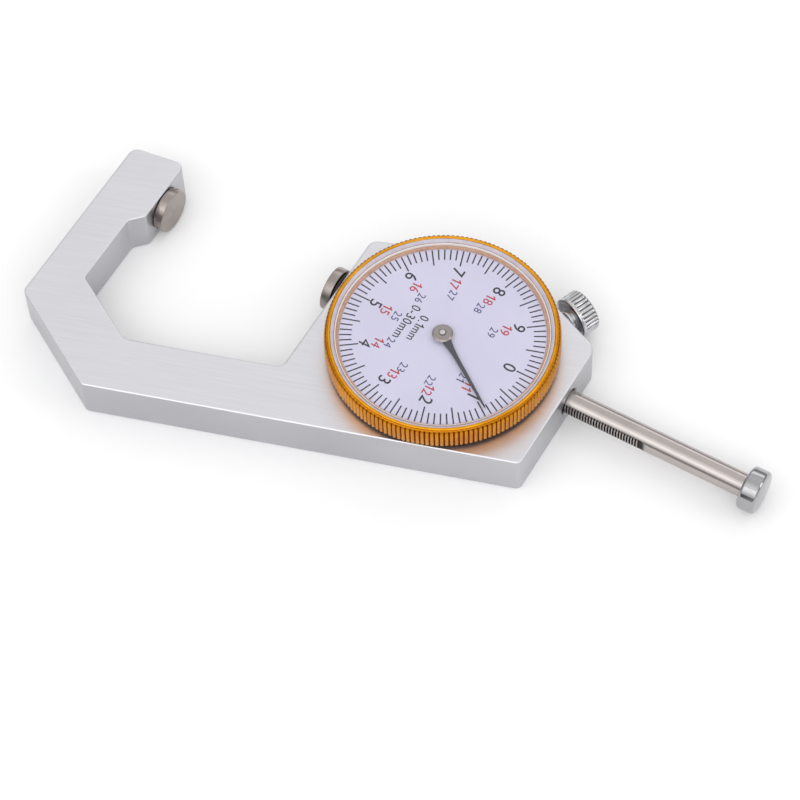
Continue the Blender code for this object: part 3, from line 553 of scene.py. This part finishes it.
def plateCorners():
    low, high = boxOf("frame")
    upright = math.pi / 2
    roof, rail, leg = (math.radians(plate[k]) for k in ("roofAngle", "railAngle", "legAngle"))
    armIn = low.x + plate["armWidth"]
    padX = armIn + plate["padRise"]
    railIn = (-plate["bodyLeft"], -plate["railDrop"])
    legIn = (armIn, -plate["legDrop"])
    railOut = shifted(railIn, rail, plate["railWidth"])
    legOut = shifted(legIn, -leg, plate["legWidth"])
    padLow = rodY - plate["padBelow"]
    padTop = (padX, rodY + plate["padAbove"])
    peak = (0.0, plate["roofPeak"])
    return [
        (*crossing(peak, -roof, (high.x, 0), upright), 2.2),
        (*peak, 8.0),
        (*crossing(peak, roof, railIn, upright), 1.6),
        (*railIn, 1.6),
        (*crossing(railIn, rail, legIn, -leg), 2.4),
        (*legIn, 0.9),
        (armIn, padLow - plate["padRise"], 1.2),
        (padX, padLow, 0.6),
        (*padTop, 1.4),
        (*crossing(padTop, math.radians(plate["tipAngle"]), (low.x, 0), upright), 1.6),
        (*crossing((low.x, 0), upright, legOut, -leg), 0.9),
        (*crossing(legOut, -leg, railOut, rail), 0.9),
        (*crossing(railOut, rail, (high.x, 0), upright), 1.1),
    ]


def makePlate():
    corners = plateCorners()
    bm = bmesh.new()
    raised(bm, [(x, y, 0) for x, y, radius in corners], (0, 0, plateTop))
    for i, (x, y, radius) in enumerate(corners):
        here = Vector((x, y))
        before = Vector(corners[i - 1][:2]) - here
        after = Vector(corners[(i + 1) % len(corners)][:2]) - here
        upright = [e for e in bm.edges
                   if all((v.co.xy - here).length < 1e-4 for v in e.verts)]
        bmesh.ops.bevel(bm, geom=upright, offset=radius / math.tan(before.angle(after) / 2),
                        offset_type="OFFSET", segments=plate["cornerSteps"], profile=0.5,
                        affect="EDGES", material=-1)
    rim = [e for e in bm.edges if abs(e.verts[0].co.z - e.verts[1].co.z) < 1e-4]
    bmesh.ops.bevel(bm, geom=rim, offset=plate["edge"], offset_type="OFFSET",
                    segments=plate["edgeSteps"], profile=0.5, affect="EDGES", material=-1,
                    clamp_overlap=True)
    bmesh.ops.recalc_face_normals(bm, faces=bm.faces)

    rightX = boxOf("frame")[1].x
    frontBush, rearBush = boxOf("front_bush"), boxOf("rear_bush")
    seat = (frontBush[1].z - frontBush[0].z) / 2 + clear
    bore = rodR + plate["boreGap"]
    mouth = rodR + plate["mouthGap"]
    ease = plate["boreEase"]
    far = 3.0  # how far the cutters reach past the plate
    over = plateTop + 1
    tunnel = [(0, -plate["bodyLeft"] - far), (seat + ease + far, -plate["bodyLeft"] - far),
              (seat, -plate["bodyLeft"] + ease), (seat, frontBush[1].x + clear),
              (bore, frontBush[1].x + clear), (bore, rearBush[0].x - clear),
              (seat, rearBush[0].x - clear), (seat, rearBush[1].x + 0.05),
              (mouth, rearBush[1].x + 0.05), (mouth, rightX - ease),
              (mouth + ease + far, rightX + far), (0, rightX + far)]
    ledge = boxOf("movement_bridge")[0].z - clear
    pocket = [(0, plate["arborFloor"]), (plate["arborR"], plate["arborFloor"]),
              (plate["arborR"], plate["pocketFloor"]), (plate["pocketR"], plate["pocketFloor"]),
              (plate["pocketR"], ledge), (plate["ledgeR"], ledge), (plate["ledgeR"], over),
              (0, over)]
    guide = boxOf("guide_screw")
    guideX = (guide[0].x + guide[1].x) / 2
    guideHole = [(0, -1), (plate["guideMouth"], -1), (plate["guideR"], 0.25),
                 (plate["guideR"], rodZ), (0, rodZ)]
    lockHole = [(0, -lock["reach"]), (lock["holeR"], -lock["reach"]),
                (lock["holeR"], -lock["bushDepth"] - clear),
                (lock["bushR"] + clear, -lock["bushDepth"] - clear),
                (lock["bushR"] + clear, -0.25), (lock["bushR"] + 1.35, 1.0), (0, 1.0)]
    studLow = boxOf("anvil")[0].x - clear
    studHigh = boxOf("anvil")[1].x - plate["discThick"] + 0.05
    stud = [(0, studLow), (plate["studR"], studLow), (plate["studR"], studHigh), (0, studHigh)]
    tools = [laid(turnedMesh(tunnel, 64), rodAxis), turnedMesh(pocket, 48),
             laid(turnedMesh(guideHole, 32), Matrix.Translation((guideX, rodY, 0))),
             laid(turnedMesh(lockHole, 48), lock["axis"]),
             laid(turnedMesh(stud, 32), rodAxis)]
    for name in ("case_screw_1", "case_screw_2", "case_screw_3"):
        corner = boxOf(name)
        at = (corner[0] + corner[1]) / 2
        foot = plateTop - plate["screwDepth"]
        hole = [(0, foot), (plate["screwR"], foot), (plate["screwR"], over), (0, over)]
        tools.append(laid(turnedMesh(hole, 24), Matrix.Translation((at.x, at.y, 0))))
    return carved(bm, tools)


def lockPlace():
    # the clamp screw stands on the sloping shoulder; its axis comes from the record's joint
    joint = next(j for j in frame["joints"] if j["name"] == "clamp_turn")
    axis = Vector(joint["axis"]).normalized()
    foot = Vector(joint["pos_m"]) / mm
    turn = axis.to_track_quat("Z", "X").to_matrix().to_4x4()
    return Matrix.Translation(foot) @ turn, (foot.y - rodY) / axis.y


lockMatrix, lockReach = lockPlace()
lock = {
    "axis": lockMatrix, "reach": lockReach, "headLow": 1.94, "headHigh": 5.24, "headR": 3.66,
    "flutes": 30, "fluteDepth": 0.2, "bushR": 1.9, "bushTop": 0.5, "bushDepth": 6.0,
    "holeR": 1.4, "shankR": 1.25, "shoulderR": 1.75, "shoulderLow": 1.15,
}

piece(makePlate(), "framePlate", "plate", "frame_body", "frame_aluminium", "frame")
print("frame plate")


bezelLow, bezelHigh = boxOf("bezel")
dialHigh = boxOf("dial_plate")[1]
bezel = {
    "outer": bezelHigh.x, "bottom": bezelLow.z, "top": bezelHigh.z, "teeth": 152,
    "depth": 0.32, "pattern": [1.0, 0.5, 0.08, 0.0, 0.0, 0.08, 0.5], "skirt": 17.9,
    "lip": dialHigh.x + clear, "ringOuter": 18.5, "ringInner": 18.05,
}


def makeBezel():
    b = bezel
    ledgeTop = boxOf("dial_plate")[0].z - clear
    profile = [
        (b["skirt"], b["bottom"]), (b["outer"] - 0.25, b["bottom"], 0.05),
        (b["outer"], b["bottom"] + 0.25, 0.1), (b["outer"], b["top"] - 0.75, 0.3),
        (b["outer"] - 0.2, b["top"] - 0.36, 0.12), (b["ringOuter"] + 0.08, b["top"] - 0.22, 0.04),
        (b["ringOuter"], b["top"] - 0.26), (b["ringOuter"], b["top"] - 0.1, 0.05),
        (b["ringOuter"] - 0.1, b["top"], 0.04), (b["ringInner"] + 0.08, b["top"], 0.04),
        (b["ringInner"], b["top"] - 0.1, 0.04), (b["ringInner"] - 0.05, b["top"] - 0.25),
        (b["lip"], b["top"] - 0.75), (b["lip"], ledgeTop),
        (b["lip"] - 0.9, ledgeTop), (b["lip"] - 0.9, ledgeTop - 0.25),
        (b["skirt"], ledgeTop - 0.25)]
    pattern = b["pattern"]
    steps = b["teeth"] * len(pattern)
    bm = turnedMesh(profile, steps, 2)

    def zone(radius, z):
        if radius < b["ringOuter"] + 0.2 or z < b["bottom"] + 0.02:
            return 0.0
        fade = min(1.0, (b["top"] - 0.2 - z) / 0.35, (z - b["bottom"] + 0.25) / 0.3)
        return max(0.0, fade)

    return knurled(bm, steps, pattern, b["depth"], zone)


finishes["gold"] = makeGoldFinish(bezel["outer"], bezel["top"], bezel["depth"])
piece(makeBezel(), "bezelRing", "gold", "bezel_body", "gold_anodised", "bezel", sharp=50)

dial = {
    "centreHole": 1.2, "ticks": 100, "tickOuter": 16.64, "longInner": 13.62,
    "shortInner": 14.65, "tickWidth": 0.23, "ink": 0.015,
    "capHeight": 0.729, "spacing": 0.13,
    "rings": (  # name, ink, radius, side shift, first number, numbers, height, boldness
        ("blackPrint", "black", 12.4, 0.0, 0, range(0, 10), 2.2, 0.006),
        ("redPrint", "red", 10.35, -0.2, 10, range(1, 10), 1.7, 0.004),
        ("bluePrint", "blue", 8.3, -0.45, 20, range(1, 10), 1.4, 0.0),
    ),
    "legends": (("0-30mm", (-6.3, -0.55), 1.62), ("0.1mm", (-4.15, -0.75), 1.55)),
    "legendBold": 0.006,
}
dialLow = boxOf("dial_plate")[0].z
piece(turnedMesh([(dial["centreHole"], dialLow), (dialHigh.x, dialLow),
                  (dialHigh.x, dialHigh.z, 0.03), (dial["centreHole"], dialHigh.z, 0.05)], 144),
      "dialFace", "dial", "bezel_body", "dial_white", "dial_plate")


def glyph(letter, bold):
    # one letter of the built-in type as a bmesh, a little bolder, with its left side at 0
    out = bmesh.new()
    if letter == "1":  # drawn with a flag
        shape = [(0.20, 0), (0.32, 0), (0.32, 0.729), (0.22, 0.729), (0.17, 0.64), (0.03, 0.56),
                 (0.03, 0.46), (0.20, 0.53)]
        raised(out, [(x, y, -dial["ink"] / 2) for x, y in shape], (0, 0, dial["ink"]))
    else:
        curve = bpy.data.curves.new("type", "FONT")
        curve.body = letter
        curve.extrude = dial["ink"] / 2
        curve.offset = 0.0 if letter == "4" else bold  # or the 4 would fill up
        curve.resolution_u = 4
        holder = bpy.data.objects.new("type", curve)
        scene.collection.objects.link(holder)
        bpy.context.view_layer.update()
        seen = holder.evaluated_get(bpy.context.evaluated_depsgraph_get()).to_mesh()
        out.from_mesh(seen)
        bpy.data.objects.remove(holder, do_unlink=True)
        bmesh.ops.remove_doubles(out, verts=out.verts, dist=1e-4)
    left = min(v.co.x for v in out.verts)
    bmesh.ops.translate(out, vec=(-left, 0, 0), verts=out.verts)
    return out


def lettering(bm, text, height, centre, bold, width=0.95):
    # a line of type whose tops face +X, so it is read towards -Y
    glyphs = bmesh.new()
    pen = 0.0
    for letter in text:
        drawn = glyph(letter, bold)
        bmesh.ops.translate(drawn, vec=(pen, 0, 0), verts=drawn.verts)
        pen = max(v.co.x for v in drawn.verts) + dial["spacing"]
        poured(drawn, glyphs)
    middle = (pen - dial["spacing"]) / 2
    scale = height / dial["capHeight"]
    place = (Matrix.Translation((*centre, dialHigh.z + dial["ink"] / 2))
             @ Matrix.Rotation(-math.pi / 2, 4, "Z")
             @ Matrix.Diagonal((scale * width, scale, 1, 1))
             @ Matrix.Translation((-middle, -dial["capHeight"] / 2, 0)))
    poured(laid(glyphs, place), bm)


def makeTicks(bm):
    for i in range(dial["ticks"]):
        inner = dial["longInner"] if i % 5 == 0 else dial["shortInner"]
        length = dial["tickOuter"] - inner
        place = (Matrix.Rotation(-fullTurn * i / dial["ticks"], 4, "Z")
                 @ Matrix.Translation((inner + length / 2, 0, dialHigh.z + dial["ink"] / 2))
                 @ Matrix.Diagonal((length, dial["tickWidth"], dial["ink"], 1)))
        bmesh.ops.create_cube(bm, size=1.0, matrix=place)


for name, ink, radius, aside, first, numbers, height, bold in dial["rings"]:
    bm = bmesh.new()
    if ink == "black":
        makeTicks(bm)
        for text, centre, size in dial["legends"]:
            lettering(bm, text, size, centre, dial["legendBold"], 0.88)
    for n in numbers:
        angle = -fullTurn * n / 10
        lettering(bm, str(first + n), height,
                  (radius * math.cos(angle), radius * math.sin(angle) + aside), bold)
    bmesh.ops.recalc_face_normals(bm, faces=bm.faces)
    piece(bm, name, ink, "bezel_body", "dial_white", sharp=30)
print("dial printing")

gasketLow, gasketHigh = boxOf("crystal_gasket")
rimBottom = bezel["top"] - 0.97
piece(turnedMesh([(gasketHigh.x - 0.7, gasketLow.z - 0.08, 0.04),
                  (gasketHigh.x, gasketLow.z - 0.08), (gasketHigh.x, rimBottom),
                  (gasketHigh.x - 0.5, rimBottom, 0.1)], 144),
      "gasketRing", "gasket", "bezel_body", "gasket_brown", "crystal_gasket")

crystalLow, crystalHigh = boxOf("crystal")
crystal = {"thick": 0.5, "rings": 10, "rimInner": 17.24}


def makeCrystal():
    # an even shell of a sphere; its edge sits just inside the moulded rim
    rim = crystal["rimInner"] - 0.02
    dome = crystalHigh.z - crystal["thick"] - crystalLow.z
    sphere = (rim ** 2 + dome ** 2) / (2 * dome)
    foot = math.sqrt(sphere ** 2 - rim ** 2)
    under = [(rim * i / crystal["rings"],
              crystalLow.z + math.sqrt(sphere ** 2 - (rim * i / crystal["rings"]) ** 2) - foot)
             for i in range(crystal["rings"] + 1)]
    over = [(r, z + crystal["thick"]) for r, z in reversed(under)]
    return turnedMesh(under + over, 96)


piece(makeCrystal(), "crystalDome", "crystal", "bezel_body", "crystal_clear", "crystal")
rimFoot = bezel["top"] - 0.95
piece(turnedMesh([(crystal["rimInner"], rimFoot), (bezel["lip"] - 0.02, rimFoot),
                  (bezel["lip"] + 0.02, bezel["top"] - 0.76),
                  (bezel["ringInner"] - 0.06, bezel["top"] - 0.26),
                  (bezel["ringInner"] - 0.03, bezel["top"] - 0.1, 0.03),
                  (bezel["ringInner"] - 0.16, bezel["top"] - 0.1, 0.03),
                  (bezel["lip"], bezel["top"] - 0.55), (bezel["lip"] - 0.04, bezel["top"] - 0.48),
                  (crystal["rimInner"], bezel["top"] - 0.48, 0.1)], 192),
      "crystalRim", "rim", "bezel_body", "crystal_clear")


hubLow, hubHigh = boxOf("pointer_hub")
bladeLow, bladeHigh = boxOf("pointer_blade")
pointer = {  # the outline has shares of the blade's length with the width there
    "angle": math.atan2(bladeLow.y, bladeHigh.x), "hubR": hubHigh.x, "rootWidth": 1.62,
    "outline": ((0.15, 1.25), (0.22, 0.94), (0.32, 0.74), (0.45, 0.64), (0.6, 0.58),
                (0.78, 0.44), (0.9, 0.34), (0.975, 0.24)),
    "length": math.hypot(bladeLow.y, bladeHigh.x), "eye": 1.42, "hole": 1.07,
    "boreR": 0.5, "collar": 0.8, "chamferIn": 0.26, "chamferDown": 0.32,
    "faceDown": 0.06, "sinkR": 0.56, "sinkMouth": 0.62, "sinkDown": 0.2,
}
neck = pointer["hole"] - 0.05
slotLow, slotHigh = bladeLow.z - 0.05, bladeHigh.z + 0.05


def makeHub():
    # a collar under the blade, a neck through its eye, and a head with a chamfer and a sunk bore
    p = pointer
    collar = p["hubR"] * p["collar"]
    return turnedMesh([(p["boreR"], hubLow.z), (collar, hubLow.z), (collar, slotLow),
                       (neck, slotLow), (neck, slotHigh), (p["hubR"], slotHigh),
                       (p["hubR"], hubHigh.z - p["chamferDown"], 0.03),
                       (p["hubR"] - p["chamferIn"], hubHigh.z - p["faceDown"], 0.04),
                       (p["sinkMouth"], hubHigh.z - p["faceDown"], 0.02),
                       (p["sinkR"], hubHigh.z - p["sinkDown"]),
                       (p["boreR"], hubHigh.z - p["sinkDown"])], 72)


piece(makeHub(), "pointerHub", "hub", "pointer_body", "turned_steel", "pointer_hub")


def makeBlade():
    p = pointer
    half = p["rootWidth"] / 2
    start = math.asin(half / p["eye"])
    bm = bmesh.new()
    eye = [(p["eye"] * math.cos(a), p["eye"] * math.sin(a))
           for a in (start + (fullTurn - 2 * start) * i / 30 for i in range(31))]
    side = [(p["length"] * along, width / 2) for along, width in p["outline"]]
    edge = ([(x, -y) for x, y in side] + [(p["length"], 0)]
            + [(x, y) for x, y in reversed(side)])
    raised(bm, [(x, y, bladeLow.z) for x, y in eye + edge], (0, 0, bladeHigh.z - bladeLow.z))
    topRim = [e for e in bm.edges
              if all(abs(v.co.z - bladeHigh.z) < 1e-4 for v in e.verts)]
    bmesh.ops.bevel(bm, geom=topRim, offset=0.07, segments=2, profile=0.5, affect="EDGES",
                    material=-1, offset_type="OFFSET")
    bmesh.ops.recalc_face_normals(bm, faces=bm.faces)
    hole = turnedMesh([(0, bladeLow.z - 1), (p["hole"], bladeLow.z - 1),
                       (p["hole"], bladeHigh.z + 1), (0, bladeHigh.z + 1)], 48)
    return laid(carved(bm, [hole]), Matrix.Rotation(p["angle"], 4, "Z"))


piece(makeBlade(), "pointerBlade", "pointer", "pointer_body", "pointer_grey", "pointer_blade")
print("pointer")


discLow, discHigh = boxOf("contact_disc")
knobLow, knobHigh = boxOf("pull_knob")
spindle = {
    "pitch": 0.5, "flat": 0.13, "toothDepth": 0.36, "gapTop": 0.16, "gapRoot": 0.08,
    "first": -1.5, "last": 34.95, "scoop": 1.8, "scoopSteps": 10,
    "keyWidth": 1.4, "keyDepth": 0.6, "keyLow": -10.5, "keyHigh": 23.45,
    "stubR": 1.3, "frontHole": 4.8, "frontHoleR": 1.3,
}


def makeRod():
    # a turned rod with the rack's tooth gaps, the scoop behind them and the keyway cut out
    s = spindle
    front, back = spindleLow.x, knobLow.x - clear
    rod = [(0, front + s["frontHole"]), (s["frontHoleR"], front + s["frontHole"]),
           (s["frontHoleR"], front), (rodR, front, 0.15),
           (rodR, back, 0.1), (s["stubR"], back), (s["stubR"], spindleHigh.x),
           (0, spindleHigh.x)]
    teeth = bmesh.new()
    tip, root = rodR - s["flat"], rodR - s["flat"] - s["toothDepth"]
    outline = [(s["first"] - s["pitch"], rodR + 1), (s["first"] - s["pitch"], tip)]
    x = s["first"]
    while x < s["last"]:
        outline += [(x - s["gapTop"], tip), (x - s["gapRoot"], root), (x + s["gapRoot"], root),
                    (x + s["gapTop"], tip)]
        x += s["pitch"]
    x -= s["gapRoot"]
    rise = rodR - root
    curve = (s["scoop"] ** 2 + rise ** 2) / (2 * rise)
    for i in range(s["scoopSteps"] + 1):
        along = s["scoop"] * i / s["scoopSteps"]
        outline.append((x + along, root + curve - math.sqrt(curve ** 2 - along ** 2)))
    outline.append((x + s["scoop"], rodR + 1))
    raised(teeth, [(-3, -y, x) for x, y in outline], (6, 0, 0))
    bmesh.ops.recalc_face_normals(teeth, faces=teeth.faces)
    key = bmesh.new()
    keyAt = (rodR - s["keyDepth"] + 1, 0, (s["keyLow"] + s["keyHigh"]) / 2)
    keySize = (2, s["keyWidth"], s["keyHigh"] - s["keyLow"], 1)
    bmesh.ops.create_cube(key, size=1.0,
                          matrix=Matrix.Translation(keyAt) @ Matrix.Diagonal(keySize))
    return laid(carved(turnedMesh(rod, 96), [teeth, key]), rodAxis)


piece(makeRod(), "spindleRod", "rod", "spindle_body", "spindle_steel", "spindle")

contact = {
    "radius": (discHigh.z - discLow.z) / 2, "dimpleR": 0.3, "dimpleDepth": 0.12, "studR": 1.2,
    "faceRound": 0.14, "backRound": 0.12,
}
bumperLow, bumperHigh = boxOf("bumper_washer")
bumperR = (bumperHigh.z - bumperLow.z) / 2
anvilLow, anvilHigh = boxOf("anvil")


def makeDisc(face, back, studEnd):
    # face, rim and stud of a contact disc; a shallow dimple marks the middle of its face
    c = contact
    way = 1 if back > face else -1
    return laid(turnedMesh([(0, face + way * c["dimpleDepth"]), (0.22, face + way * 0.03),
                            (c["dimpleR"], face), (c["radius"], face, c["faceRound"]),
                            (c["radius"], back, c["backRound"]), (c["studR"], back),
                            (c["studR"], studEnd), (0, studEnd)], 96), rodAxis)


piece(makeDisc(discLow.x, bumperLow.x - clear, discHigh.x),
      "movingDisc", "disc", "spindle_body", "turned_steel", "contact_disc")
piece(makeDisc(anvilHigh.x, anvilHigh.x - plate["discThick"], anvilLow.x),
      "anvilDisc", "disc", "frame_body", "turned_steel", "anvil")
piece(laid(turnedMesh([(rodR + clear, bumperLow.x), (bumperR, bumperLow.x, 0.1),
                       (bumperR, bumperHigh.x, 0.1), (rodR + clear, bumperHigh.x)], 96), rodAxis),
      "bumperRing", "rubber", "spindle_body", "black_rubber", "bumper_washer")

knob = {"radius": (knobHigh.z - knobLow.z) / 2, "round": 0.6, "holeR": 1.4, "holeDepth": 2.2}
holeEnd = knobLow.x + knob["holeDepth"]
piece(laid(turnedMesh([(knob["holeR"], knobLow.x), (knob["radius"], knobLow.x, knob["round"]),
                       (knob["radius"], knobHigh.x, knob["round"]), (0, knobHigh.x),
                       (0, holeEnd), (knob["holeR"], holeEnd)], 96, 6), rodAxis),
      "pullKnob", "chrome", "spindle_body", "chrome", "pull_knob")
print("spindle")


def makeLockScrew():
    k = lock
    pattern = [1.0, 0.5, 0.08, 0.0, 0.0, 0.08, 0.5, 1.0]
    steps = k["flutes"] * len(pattern)
    tipEnd = -k["reach"] + 4.5  # the pad stands between the tip and the spindle
    profile = [(0, tipEnd), (k["shankR"], tipEnd, 0.1), (k["shankR"], k["shoulderLow"]),
               (k["shoulderR"], k["shoulderLow"], 0.2), (k["shoulderR"], k["headLow"]),
               (k["headR"] - 0.9, k["headLow"]), (k["headR"], k["headLow"], 0.35),
               (k["headR"], k["headLow"] + 0.62), (k["headR"], k["headLow"] + 0.8),
               (k["headR"], k["headHigh"] - 0.55), (k["headR"], k["headHigh"], 0.4),
               (k["headR"] - 1.1, k["headHigh"], 0.2), (k["headR"] - 1.3, k["headHigh"] - 0.15),
               (0, k["headHigh"] - 0.15)]
    bm = turnedMesh(profile, steps, 4)

    def zone(radius, z):
        if radius < k["headR"] - 0.32 or z < k["headLow"] + 0.65:
            return 0.0
        return 1.0 if z < k["headHigh"] - 0.1 else 0.4

    return knurled(bm, steps, pattern, k["fluteDepth"], zone)


finishes["fluted"] = makeFlutedFinish(lock["axis"], lock["headR"], lock["fluteDepth"])
piece(laid(makeLockScrew(), lock["axis"]), "clampScrew", "fluted", "lock_screw_body",
      "chrome", "lock_screw", sharp=50)
bushBore = lock["shankR"] + 0.06
piece(laid(turnedMesh([(bushBore, -lock["bushDepth"]), (lock["bushR"], -lock["bushDepth"]),
                       (lock["bushR"], lock["bushTop"], 0.2),
                       (bushBore, lock["bushTop"], 0.08)], 72), lock["axis"]),
      "clampBush", "chrome", "frame_body", "chrome", "lock_bush")

# the pieces that keep their CAD shape
for node, finish in (
        ("front_bush", "bronze"), ("rear_bush", "bronze"), ("guide_screw", "screw"),
        ("lower_bearing", "brass"), ("upper_bearing", "brass"), ("movement_bridge", "brass"),
        ("bridge_screw_1", "screw"), ("bridge_screw_2", "screw"), ("bridge_screw_3", "screw"),
        ("dial_case", "case"), ("case_screw_1", "screw"), ("case_screw_2", "screw"),
        ("case_screw_3", "screw"), ("bezel_spring", "screw"), ("pinion_arbor", "pin"),
        ("lock_pad", "brass")):
    for holder in frame["nodes"][node].material_slots:
        holder.material = finishes[finish]
print("clamp screw and small parts")


studio = {
    "floor": (0.965, 0.965, 0.97), "airLow": 0.50, "airHigh": 1.09, "airSides": 0.72,
    "airFrom": -0.1, "airTo": 0.75, "sidesFrom": 0.3,
    "panels": (  # place from front to back, and brightness
        (0.0, 0.9), (0.02, 0.25), (0.05, 0.3), (0.12, 1.0), (0.2, 1.35), (0.33, 1.35),
        (0.44, 1.0), (0.54, 0.82), (0.66, 0.9), (0.82, 0.86), (0.92, 0.72), (1.0, 0.7)),
    "cameraAt": (140.6258, -229.9121, 433.0397),
    "cameraTurn": (0.54839367, 0.02711521, 0.53194661), "lens": 140.1245,
    "lights": (  # where, aim and size in metres, and watts
        ("keyLight", (0.12, -0.72, 0.62), (0, 0, 0), (1.5, 0.7), 2.2),
        ("sideLight", (0.8, 0.25, 0.45), (0, 0, 0), (0.3, 0.6), 1.0),
        ("backLight", (-0.15, 0.75, 0.45), (0, 0, 0), (0.7, 0.25), 0.5),
    ),
}

floorBm = bmesh.new()
bmesh.ops.create_grid(floorBm, x_segments=1, y_segments=1, size=4000)
bmesh.ops.scale(floorBm, vec=(mm, mm, mm), verts=floorBm.verts)
bmesh.ops.translate(floorBm, vec=(0, 0, -0.0001), verts=floorBm.verts)
floor = asObject(floorBm, "floor")
floor.data.materials.append(Finish("paleFloor", studio["floor"], 0.9).material)

for name, at, aim, size, watts in studio["lights"]:
    lamp = bpy.data.lights.new(name, "AREA")
    lamp.shape = "RECTANGLE"
    lamp.size, lamp.size_y = size
    lamp.energy = watts
    holder = bpy.data.objects.new(name, lamp)
    holder.location = at
    holder.rotation_euler = (Vector(aim) - Vector(at)).to_track_quat("-Z", "Y").to_euler()
    scene.collection.objects.link(holder)

world = bpy.data.worlds.new("studioAir")
world.use_nodes = True
sky = world.node_tree.nodes["Background"]
air = Shading(world.node_tree)
way = air.node("ShaderNodeTexCoord", {}, {}, "Generated")
rise = air.node("ShaderNodeMapRange", {"interpolation_type": "SMOOTHSTEP"},
                {"Value": air.part(way, "Z"), "From Min": studio["airFrom"],
                 "From Max": studio["airTo"], "To Min": studio["airLow"],
                 "To Max": studio["airHigh"]})
across = air.node("ShaderNodeMapRange", {}, {"Value": air.part(way, "Y"), "From Min": -1.0})
panels = air.node("ShaderNodeValToRGB", {"stops": studio["panels"]}, {"Fac": across})
dim = air.node("ShaderNodeMapRange", {},
               {"Value": air.maths("ABSOLUTE", air.part(way, "X")),
                "From Min": studio["sidesFrom"], "To Min": 1.0, "To Max": studio["airSides"]})
air.feed(sky.inputs["Color"], (1.0, 1.0, 1.0))
air.feed(sky.inputs["Strength"], rise * dim * panels)
scene.world = world
scene.view_settings.view_transform = "Standard"

camera = bpy.data.objects.new("camera", bpy.data.cameras.new("camera"))
camera.data.lens = studio["lens"]
camera.data.sensor_width = 36.0
camera.data.clip_start = 0.01
camera.data.clip_end = 20.0
camera.location = Vector(studio["cameraAt"]) * mm
camera.rotation_euler = Euler(studio["cameraTurn"], "XYZ")
scene.collection.objects.link(camera)
scene.camera = camera
print("floor, light and camera")
